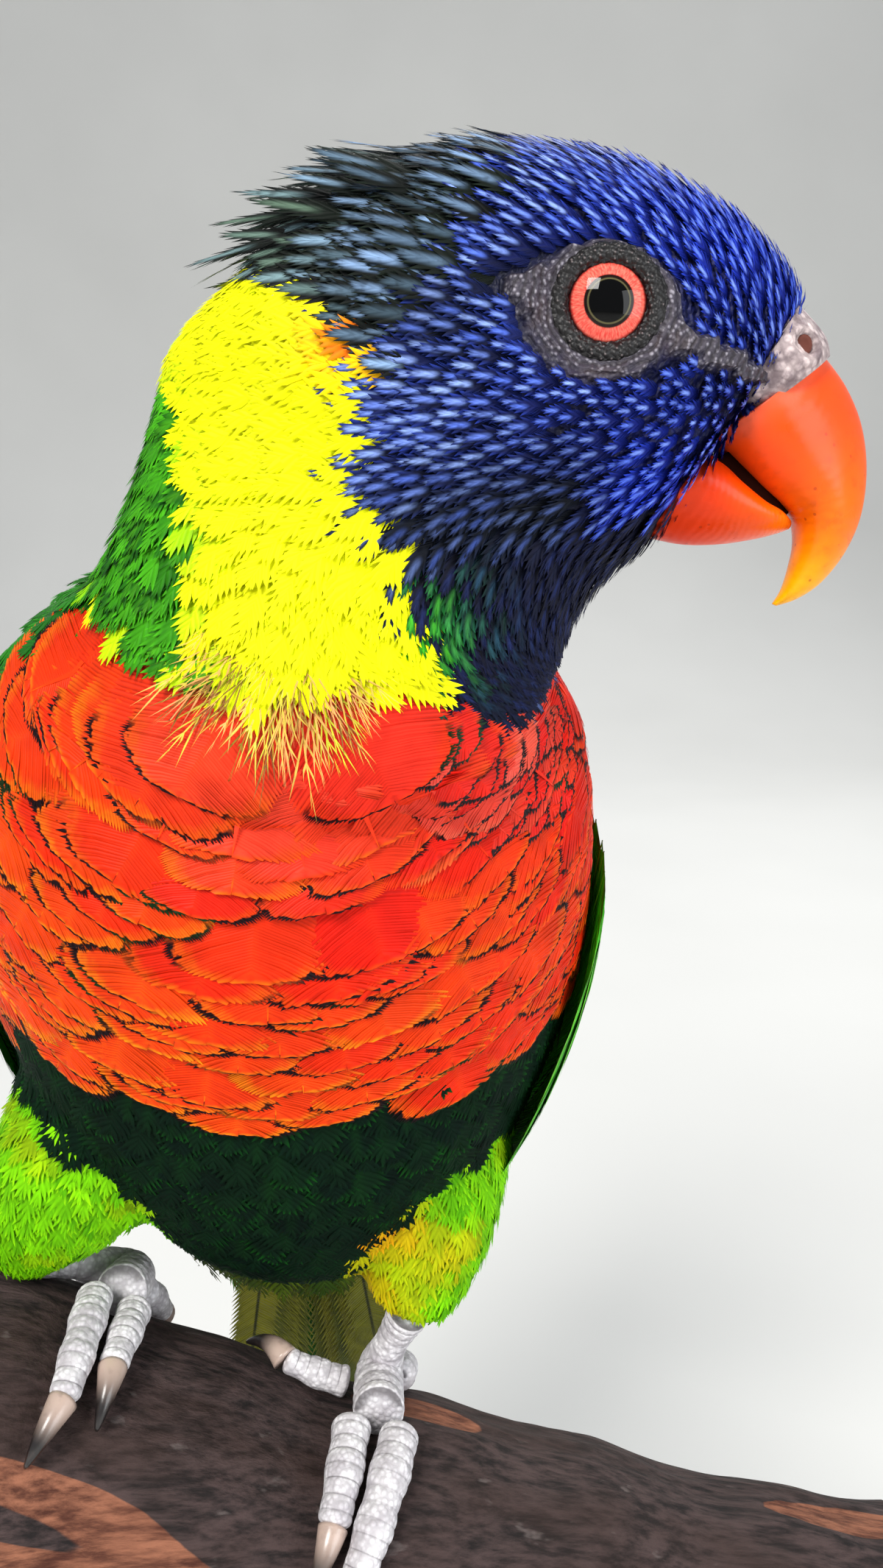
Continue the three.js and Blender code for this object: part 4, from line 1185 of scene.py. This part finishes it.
def barred_coat(skin):
    """Small feathers under the throat, with a dark bar on the end of each"""
    under_throat = wanted_in([BREAST], 4.5, 0.5, True)

    def wanted(spots, normals):
        close = (near_spot(spots, 15, 194.5, 9)[:, 0] > 0.42) & (spots[:, 1] < -14)
        return under_throat(spots, normals) & close

    roots = scatter(skin, 1.9, wanted, 55)
    edge = edged(0.6, 0.8, 0.4, dark=0.72)
    look = plumage("barred", streaked(0.1, 0.3, 1.05, 0.2), edge, 0.5, 0.2, barb_shade_lightness=0.84)
    plan = barbed(20, 0.3, 0.74, 2.6, 1.25, (0, 0.45, 0.8), 0.5)
    shape = {"ragged": 0.05, "marks": lambda spots, rng: rng.uniform(0.4, 1.0, len(spots))}
    coat("barred", "feathers_red", skin, [BREAST], roots, (5.5, 3.1, 2.1), plan, look, **shape)


def fringe(skin):
    """Loose fine barbs that fray out from under the collar"""

    def wanted(spots, normals):
        seen = ahead(spots, normals, 6)
        low = np.interp(seen[:, 0], TRUNK_LOW["x"], TRUNK_LOW["z"])
        near = (np.abs(seen[:, 2] - low + 2.0) < 2.8) & (seen[:, 0] > -12) & (seen[:, 0] < 4)
        return near & (seen[:, 1] < -14)

    roots = scatter(skin, 0.95, wanted, 45)
    rng = np.random.default_rng(46)
    size = rng.uniform(0.6, 1.25, len(roots))
    path, normals = paths_on(skin, roots, 7.5 * size)
    chance, second = rng.random((2, len(roots), 1))
    hair = shaded(chance, (0.95, 0.62, 0.4), (0.8, 0.82, 0.2), ((second > 0.7) * 0.8, (0.42, 0.24, 0.1)))
    colours = (hair, toned(hair, 0.5, (0.5, 0.3, 0.12)), hair)
    look, plan = plumage("fringe", streaked(), edged()), barbed(8, 0.7, 0.6, 1.2, 0.2)
    thing = feathers("coat_fringe", look, path, normals, 1.5 * size, 2.5, plan, colours, 47, ragged=0.5)
    place(thing, "feathers_red")


def belly_coat(skin):
    roots = scatter(skin, 2.2, wanted_in([BELLY], 9), 61)
    look = plumage("belly", streaked(), edged(0.5, 0.8), 0.7, 0.06)
    plan = barbed(20, 0.32, 0.7, 2.0, 1.25)
    coat("belly", "feathers_green", skin, [BELLY], roots, (10.0, 3.4, 1.7), plan, look, ragged=0.1)


def vent_coat(skin):
    """Loose long feathers between the legs"""
    under_tail = wanted_in([VENT], 8)

    def wanted(spots, normals):
        return under_tail(spots, normals) & (spots[:, 0] < 3)

    roots = scatter(skin, 2.2, wanted, 63)
    look = plumage("vent", streaked(), edged(0.5, 0.8), 0.7, 0.08)
    plan = barbed(16, 0.45, 0.6, 1.6, 0.8)
    coat("vent", "feathers_green", skin, [VENT], roots, (14.5, 2.8, 2.2), plan, look, 2, ragged=0.3)


def back_coat(skin):
    roots = scatter(skin, 2.4, wanted_in([BACK], 9), 71)
    look = plumage("back", streaked(0.1, 0.1, 1.05, 0.5), edged(0.55, 0.6), 0.5, 0.18)
    plan = barbed(18, 0.32, 0.72, 2.0, 1.25)
    coat("back", "feathers_green", skin, [BACK], roots, (9.5, 3.3, 1.7), plan, look, ragged=0.06)


def thigh_coat(skin):
    roots = scatter(skin, 1.45, wanted_in([THIGH], 6.5), 81)
    look = plumage("thigh", streaked(), edged(), 0.7, 0.08, barb_shade_lightness=0.84)
    plan = barbed(14, 0.42, 0.6, 1.6, 1.05)
    coat("thighs", "feathers_lime", skin, [THIGH], roots, (7.5, 2.1, 1.6), plan, look, ragged=0.18)


# Wings and tail
def wing_paths(side, tier, lanes):
    """Centre lines and outward directions of a tier of vanes, in the lanes of the solid's"""
    t = np.linspace(0, 1, 9)
    lane = lanes[:, None]
    tip = np.interp(lane, np.arange(LANES), tier["tips"])
    distance = tier["root"] + (tip - tier["root"]) * t
    low, high = looked_up(LANE_FAN, distance)
    degrees = low + (high - low) * lane / (LANES - 1)
    stacked = 0.85 * step(distance, 60, 120)
    height = tier["lift"] + STEP * stacked * lane
    spots = on_shell(side, distance, degrees, height)
    outward = unit(on_shell(side, distance, degrees, 9) - on_shell(side, distance, degrees, 0))
    pitch = (high - low) / (LANES - 1)
    half, _, _, _ = looked_up(WING_SHELL, distance)
    lean = STEP * (1 - stacked) / np.radians(pitch) / half
    fore = unit(np.gradient(spots, axis=1))
    edge = unit(np.cross(outward, fore))
    return spots, unit(outward + side * lean[..., None] * edge)


def wing_colours(lanes, dark, rng):
    """Greens that are brightest along the wing's lower edge"""
    chance, second = rng.random((2, len(lanes), 1))
    low = step(-lanes, -3, -0.5)[:, None]
    base = toned(blended((0.04, 0.34, 0.04), (0.15, 0.56, 0.05), chance), low, (0.24, 0.74, 0.05))
    rim = toned(blended((0.3, 0.72, 0.06), (0.1, 0.44, 0.05), second), low, (0.52, 0.88, 0.12))
    streak = np.tile(linear((0.03, 0.09, 0.03)), (len(lanes), 1))
    return base * (1 - 0.45 * dark * (1 - low)), rim * (1 - 0.3 * dark * (1 - low)), streak


def wing(side, word, look):
    """Flight feathers and coverts in two pieces, for each wing"""
    rng = np.random.default_rng(90 + side)
    shape = {"sink": 0.2, "ragged": 0.02, "depth": 0.0}
    sets = []
    lower_edge = -2.7 if side > 0 else 0
    for tier, first, count in zip(WING_TIERS, (0, lower_edge, 0.8, 2), (15, 21, 15, 12)):
        lanes = np.linspace(first, LANES - 1, count)
        path, normals = wing_paths(side, tier, lanes + rng.normal(0, 0.05, count))
        colours = wing_colours(lanes, float(tier["root"] > 40), rng)
        sets.append((path, normals, np.full(count, tier["half"]), *colours))
    plans = [barbed(60, 0.07, 0.9, 2.0, 1.3), barbed(34, 0.16, 0.86, 2.0, 1.3)]
    for name, plan, chosen in (("flight", plans[0], sets[:1]), ("coverts", plans[1], sets[1:])):
        path, normals, halves, *colours = (np.concatenate(parts) for parts in zip(*chosen))
        title = f"wing_{name}_{word}"
        thing = feathers(title, look, path, normals, halves, 0.1, plan, colours, 95 + side, **shape)
        place(thing, "feathers_green", *([f"wing_{word}"] if name == "flight" else []))


def wings():
    look = plumage("wing", streaked(0.09, 0.0, 1.1, 0.9), edged(0.5, 0.75, 0.0), 0.5, 0.2, 3.0)
    for side, word in ((-1, "right"), (1, "left")):
        wing(side, word, look)


def tail():
    """Six pairs of vanes, the inner pair on top and longest, and coverts over their roots"""
    rng = np.random.default_rng(101)
    covert_rows, covert_lanes = [(86, 36), (82, 28), (78, 22)], 7
    paths, ups, halves = [], [], []
    t = np.linspace(0, 1, 9)
    for side in (-1, 1):
        for pair in range(TAIL["pairs"]):
            length = TAIL["end"] - TAIL["start"] - pair * TAIL["shorter"]
            height = 1.6 - 0.85 * pair + (0.85 if pair == 0 and side > 0 else 0)
            along = TAIL["start"] + length * t
            middle = 2.2 + 0.5 * pair + 0.022 * pair * (along - TAIL["start"])
            paths.append(on_axis(along) + height * DORSAL + (side * middle)[:, None] * ACROSS)
            ups.append(np.tile(DORSAL, (9, 1)))
            halves.append(TAIL["half"] * 0.8)
    for face in (-1, 1):
        for row, (start, length) in enumerate(covert_rows):
            for share in np.linspace(-1, 1, covert_lanes):
                along = start + length * (1 - 0.15 * abs(share)) * t
                swell = np.interp(along, [78, 97, 110, 122], [9, 6.4, 5.4, 4.6]) + 0.35 * row
                height = face * swell * math.sqrt(1 - 0.55 * share**2)
                across = share * np.interp(along, [78, 97, 122], [12, 9, 6])
                paths.append(on_axis(along) + height[:, None] * DORSAL + across[:, None] * ACROSS)
                ups.append(np.tile(unit(face * DORSAL + 0.55 * share * ACROSS), (9, 1)))
                halves.append(3.6)
    count, vanes = len(paths), 2 * TAIL["pairs"]
    chance = rng.random((count, 1))
    number = np.arange(count)[:, None]
    lower_coverts = (number >= vanes) & (number < vanes + len(covert_rows) * covert_lanes)
    olive = ((number < vanes) & (number % TAIL["pairs"] > 0)) | lower_coverts
    base = blended((0.05, 0.36, 0.05), (0.2, 0.52, 0.06), chance)
    base = np.where(olive, blended((0.24, 0.31, 0.05), (0.5, 0.49, 0.1), chance), base)
    rim = blended((0.55, 0.68, 0.08), (0.3, 0.6, 0.07), chance)
    rim = np.where(olive, linear((0.5, 0.5, 0.1)), rim)
    streak = np.tile(linear((0.03, 0.08, 0.03)), (count, 1))
    shape = {"sink": 0.1, "camber": 0.05, "ragged": 0.02, "depth": 0.0}
    look = plumage("tail", streaked(0.09, 0.0, 1.1, 0.9), edged(0.45, 0.75, 0.0), 0.5, 0.2, 3.0)
    plan = barbed(56, 0.09, 0.88, 2.0, 1.3)
    sets = (np.array(paths), np.array(ups), np.array(halves), 0.1, plan, (base, rim, streak))
    place(feathers("feathers_tail", look, *sets, 102, **shape), "feathers_green", "tail")


# Head details
def upright_ring(centre, reach, sides, tall=1):
    """A ring round an axis that runs from side to side"""
    turn = 2 * np.pi * np.arange(sides) / sides
    return centre + np.stack([reach * np.cos(turn), 0 * turn, tall * reach * np.sin(turn)], axis=1)


def eye(side, word, look):
    """An eyeball whose clear front bulges a little"""
    rings = 30
    radius = EYEBALL["radius"]
    stack = []
    for i in range(1, rings):
        polar = math.pi * i / rings
        reach = radius * math.sin(polar) * (1 + 0.035 * math.exp(-((polar / 0.42) ** 2)))
        depth = side * (EYEBALL["depth"] + radius * math.cos(polar))
        stack.append(upright_ring(EYE + (0, depth, 0), reach, 48))
    place(make(f"eyeball_{word}", *closed(stack), look), "eye", f"eye_{word}")


def lids(look):
    """A pebbled ring round each eye"""
    around, tube = 96, 20
    parts = []
    for side in (-1, 1):
        rings = []
        for turn in 2 * np.pi * np.arange(around) / around:
            way = np.array([math.cos(turn), 0, math.sin(turn)])
            pinch = 1 + 0.03 * math.cos(2 * turn)
            for part in 2 * np.pi * np.arange(tube) / tube:
                swell = LID["tube"] * (1 + 0.12 * math.sin(29 * turn) * math.sin(2 * part + 7 * turn))
                reach = LID["radius"] * pinch + swell * math.cos(part)
                depth = side * (LID["depth"] + 0.75 * swell * math.sin(part))
                rings.append(EYE + way * reach + (0, depth, 0))
        faces = walls(around, tube, True)
        parts.append((np.array(rings), faces if side < 0 else [face[::-1] for face in faces]))
    place(make("lids", *together(parts), look), "cere")


def share_out(rings):
    """How far out each point of a closed stack is, from its root to its tip"""
    shares = np.repeat(np.linspace(0, 1, len(rings)), len(rings[0]))
    return np.append(shares, [0, 1])


def bill_half(name, rows, lean, look, node):
    rings = profile_rings(rows, 56, 10, lean)
    thing = make(name, *closed(rings), look)
    attribute(thing, "along", "FLOAT", share_out(rings))
    place(thing, "bill", node)


def cere(look):
    """The bare skin over the bill, with a dent and a low rim round each nostril"""
    points, faces = closed(profile_rings(CERE, 72, 10))
    for side in (-1, 1):
        nostril = EYE + (NOSTRIL["forward"], side * NOSTRIL["out"], NOSTRIL["up"])
        away = np.linalg.norm(points - nostril, axis=1)
        points[:, 1] += -side * 0.9 * step(-away, -1.5, -0.5)
        points[:, 1] += side * 0.3 * np.exp(-(((away - 1.6) / 0.4) ** 2))
    place(make("cere_skin", points, faces, look), "cere", "cere")


def nostrils(look):
    """Plugs in the dents of the cere, painted dark as painted shade in the nostril openings"""
    parts = []
    for side in (-1, 1):
        rings = []
        for deep, share in ((-0.5, 0.1), (-0.45, 0.6), (-0.3, 1.0), (-0.7, 1.1), (-1.2, 0.9)):
            centre = EYE + (NOSTRIL["forward"], side * (NOSTRIL["out"] + deep), NOSTRIL["up"])
            rings.append(upright_ring(centre, share * NOSTRIL["radius"], 16, 1.3))
        parts.append(closed(rings))
    place(make("nostrils", *together(parts), look), "cere")


def mouth(look):
    """Painted shade: a near-black piece between the two halves of the bill, for the shaded inside of the
    mouth
    """
    rows = [
        [13.6, -10.4, 7.5, -14.5, 4.0],
        [16.2, -12.9, 11.5, -15.5, 3.6],
        [18.2, -14.8, 14.5, -16.6, 2.8],
        [19.4, -16.2, 17.2, -17.4, 1.6],
    ]
    place(make("mouth", *closed(profile_rings(rows, 24, 5)), look), "bill")


# Feet
def perch_height(x):
    return PERCH["height"] + PERCH["slope"] * x + PERCH["bend"] * x * x


def perch_radius(x):
    return PERCH["radius"] + 0.5 * np.sin(x / 9) + 0.4 * np.sin(x / 3.7 + 1)


def round_perch(x, degrees, radius):
    """A point off the perch's axis, and the direction out from the axis through it"""
    x, degrees, radius = np.broadcast_arrays(np.asarray(x, float), degrees, radius)
    turn = np.radians(degrees)
    slope = PERCH["slope"] + 2 * PERCH["bend"] * x
    normal = unit(np.stack([-slope, 0 * x, 1 + 0 * x], axis=-1))
    out = np.cos(turn)[..., None] * normal - np.sin(turn)[..., None] * np.array([0, 1, 0])
    axis = np.stack([x, PERCH["y"] + 0 * x, perch_height(x)], axis=-1)
    return axis + radius[..., None] * out, out


def scaled_tube(centres, radii, ups, scutes, sides=22):
    """A tube whose upper side is ringed by scutes. It also gives each vertex's share of groove."""
    last = len(centres) - 1
    beat = np.array([abs(math.sin(math.pi * scutes * i / last)) ** 0.45 for i in range(last + 1)])
    top = step(np.cos(2 * np.pi * np.arange(sides) / sides), -0.35, 0.25)
    radii = radii[:, None] * (1 - 0.1 * (1 - beat)[:, None] * top)
    points, faces = closed(tube_rings(centres, radii, ups, sides))
    return points, faces, np.append((1 - beat)[:, None] * top, [0, 0])


def toe_tube(foot, toe):
    count = 110
    t = np.linspace(0, 1, count)
    joints = {"toe1": 2, "toe2": 2, "toe3": 3, "toe4": 3}[toe["name"]]
    swell = toe["radius"] * (1 - 0.22 * t) * (0.97 + 0.06 * np.cos(2 * np.pi * joints * t))
    swell = swell * np.sqrt(np.clip(1 - (2 * np.abs(t - 0.5)) ** 14, 0.1, 1))
    x = foot + toe["from"][0] + (toe["to"][0] - toe["from"][0]) * t
    degrees = toe["from"][1] + (toe["to"][1] - toe["from"][1]) * t
    centres, out = round_perch(x, degrees, perch_radius(x) + GAP + toe["radius"])
    reach = np.linalg.norm(np.diff(centres, axis=0), axis=1).sum()
    return scaled_tube(centres, swell, out, max(4, round(reach / 1.5)))


def tarsus_tube(leg):
    foot = leg["foot"]
    back, front = (round_perch(foot, angle, perch_radius(foot) + 3.3 + GAP)[0] for angle in leg["pad"])
    start = np.array(leg["heel"][:3])
    bend = start + 0.6 * (back - start) + (0, 0, 0.8)
    rows = [[*start, leg["heel"][3]], [*bend, 2.1], [*back, 3.0], [*front, 3.1]]
    rows = smooth_rows(rows, 30)
    ups = np.tile([0.0, -0.8, 0.6], (len(rows), 1))
    return scaled_tube(rows[:, :3], rows[:, 3], ups, 13)


def claw_tube(foot, toe):
    t = np.linspace(0, 1, 22)
    x = foot + toe["to"][0] + (toe["claw"][0] - toe["to"][0]) * t
    degrees = toe["to"][1] + (toe["claw"][1] - toe["to"][1]) * t
    height = toe["radius"] + (0.9 - toe["radius"]) * t * t + 0.5 * np.sin(np.pi * t)
    centres, out = round_perch(x, degrees, perch_radius(x) + GAP + height)
    return tube_rings(centres, 1.5 * (1 - t) ** 0.8 + 0.2, out, 18)


def feet(scales, horn):
    for word, leg in LEGS.items():
        pieces = [tarsus_tube(leg)] + [toe_tube(leg["foot"], toe) for toe in leg["toes"]]
        thing = make(f"foot_scales_{word}", *together([piece[:2] for piece in pieces]), scales)
        attribute(thing, "groove", "FLOAT", np.concatenate([piece[2] for piece in pieces]))
        place(thing, "scales", f"foot_{word}", *(f"{toe['name']}_{word}" for toe in leg["toes"]))
        stacks = [claw_tube(leg["foot"], toe) for toe in leg["toes"]]
        claws = make(f"claws_{word}", *together([closed(rings) for rings in stacks]), horn)
        along = np.concatenate([share_out(rings) for rings in stacks])
        attribute(claws, "along", "FLOAT", along)
        place(claws, "claw", *(f"claw{toe['name'][3:]}_{word}" for toe in leg["toes"]))


# The perch and the stand
def perch(look):
    rings, sides = 300, 150
    x = np.linspace(PERCH["from"], PERCH["to"], rings - 2)
    x = np.concatenate([x[:1], x, x[-1:]])[:, None]
    degrees = (360 * np.arange(sides) / sides)[None, :]
    x, degrees = np.broadcast_arrays(x, degrees)
    rough = np.empty(x.shape)
    bare = np.empty(x.shape)
    for i in range(rings):
        for j in range(sides):
            turn = math.radians(degrees[i, j])
            spot = Vector((x[i, j] * 0.035, 3.2 * math.cos(turn), 3.2 * math.sin(turn)))
            fine = Vector((x[i, j] * 0.16, 9 * math.cos(turn), 9 * math.sin(turn)))
            rough[i, j] = 0.32 * noise.noise(fine) + 0.45 * noise.noise(spot * 1.7)
            bare[i, j] = noise.noise(spot * 0.8 + Vector((3.1, 0, 0.4)))
    worn = step(bare, 0.34, 0.46)
    radius = perch_radius(x) + rough * (1 - 0.6 * worn) - 0.35 * worn
    worn[[0, -1]] = 1
    radius[[0, -1]] -= 1.1
    points, _ = round_perch(x, degrees, radius)
    thing = make("perch_bark", *closed(list(points)), look)
    attribute(thing, "bare", "FLOAT", np.append(worn.ravel(), [1, 1]))
    place(thing, "bark", "stand_perch")


def stand(look):
    for name in ("stand_base", "stand_rod_left", "stand_rod_right"):
        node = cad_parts[name]
        for slot in node.material_slots:
            slot.material = look


# Room, light and camera
def backdrop():
    profile = [(-1.6, 0.0), (0.9, 0.0)]
    profile += [(0.9 + 0.5 * math.sin(a), 0.5 - 0.5 * math.cos(a)) for a in np.linspace(0.1, math.pi / 2, 14)]
    profile += [(1.4, 2.4)]
    points = [(x, y * 1000, z * 1000) for y, z in profile for x in (-2400, 2400)]
    faces = [(2 * i, 2 * i + 1, 2 * i + 3, 2 * i + 2) for i in range(len(profile) - 1)]
    look = Look("paper", 0.9, Specular_IOR_Level=0.1)
    paper = look.painted(look.mixed(look.cloud(6, 2), (0.8, 0.8, 0.79), (0.84, 0.84, 0.83)))
    make("backdrop", points, faces, paper)


def lamp(name, spot, aim, size, power, colour=(1, 1, 1)):
    light = bpy.data.lights.new(name, "AREA")
    light.shape = "SQUARE"
    light.size = size
    light.energy = power
    light.color = colour
    thing = bpy.data.objects.new(name, light)
    thing.location = spot
    thing.rotation_euler = (Vector(aim) - Vector(spot)).to_track_quat("-Z", "Y").to_euler()
    bpy.context.scene.collection.objects.link(thing)


def lights():
    lamp("key", (-0.35, -0.75, 0.95), (0, 0, 0.18), 0.42, 15, (1.0, 0.98, 0.95))
    lamp("fill", (0.8, -0.6, 0.35), (0, 0, 0.17), 0.7, 7, (0.94, 0.97, 1.0))
    lamp("back", (0.3, 0.8, 0.9), (0, 0, 0.2), 0.6, 8)
    world = bpy.data.worlds.new("room")
    world.use_nodes = True
    world.node_tree.nodes["Background"].inputs[0].default_value = (0.85, 0.88, 0.92, 1)
    world.node_tree.nodes["Background"].inputs[1].default_value = 0.47
    bpy.context.scene.world = world
    bpy.context.scene.view_settings.view_transform = "Standard"


def camera():
    lens = bpy.data.cameras.new("camera")
    lens.lens = 27.04
    lens.sensor_width = 36
    lens.clip_start = 0.005
    thing = bpy.data.objects.new("camera", lens)
    thing.location = (0.010, -0.1308, 0.2109)
    thing.rotation_euler = (math.radians(78), 0, 0)
    bpy.context.scene.collection.objects.link(thing)
    bpy.context.scene.camera = thing


# The whole bird
def skin_piece():
    thing = joined_flesh()
    skin = Skin(thing)
    shrunk(thing, skin)
    base, _, _ = colour_sets(region_of(skin.points, 0.4), skin.points, np.random.default_rng(5))
    attribute(thing, "base", "FLOAT_COLOR", np.concatenate([base * 0.5, np.ones((len(base), 1))], axis=1))
    attribute(thing, "bare", "FLOAT", bare_share(skin.points))
    lay_out(thing, unwrap(skin.points))
    thing.data.materials.clear()
    thing.data.materials.append(skin_look())
    place(thing, "feathers_red", "head", "neck", "torso", "thigh_right", "thigh_left")
    return skin


camera()
lights()
backdrop()
skin = skin_piece()
front_coats = (head_coat, hackles, collar_coat, breast_coat, barred_coat, fringe, belly_coat, vent_coat)
for dress in front_coats + (back_coat, thigh_coat):
    dress(skin)
wings()
tail()
both_eyes = eye_look()
eye(-1, "right", both_eyes)
eye(1, "left", both_eyes)
lids(lid_look())
orange = bill_look("bill_upper", (0.94, 0.29, 0.05), (0.97, 0.45, 0.01), (0.97, 0.68, 0.03), (0.9, 0.4, 0.28))
red = bill_look("bill_lower", (0.88, 0.21, 0.0), (0.94, 0.32, 0.0), (0.97, 0.46, 0.05), (0.85, 0.36, 0.24))
bill_half("upper_bill", BILL_UPPER, 0.3, orange, "bill_upper")
bill_half("lower_bill", BILL_LOWER, -0.3, red, "bill_lower")
cere(cere_look())
# The nostrils' dark colour is painted shade.
nostrils(Look("nostril", 0.8, Base_Color=(0.1, 0.02, 0.01, 1)).made)
# The mouth's near-black colour is painted shade.
mouth(Look("mouth", 0.9, Base_Color=(0.012, 0.003, 0.002, 1), Specular_IOR_Level=0.0).made)
feet(scale_look(), claw_look())
perch(bark_look())
stand(stand_look())
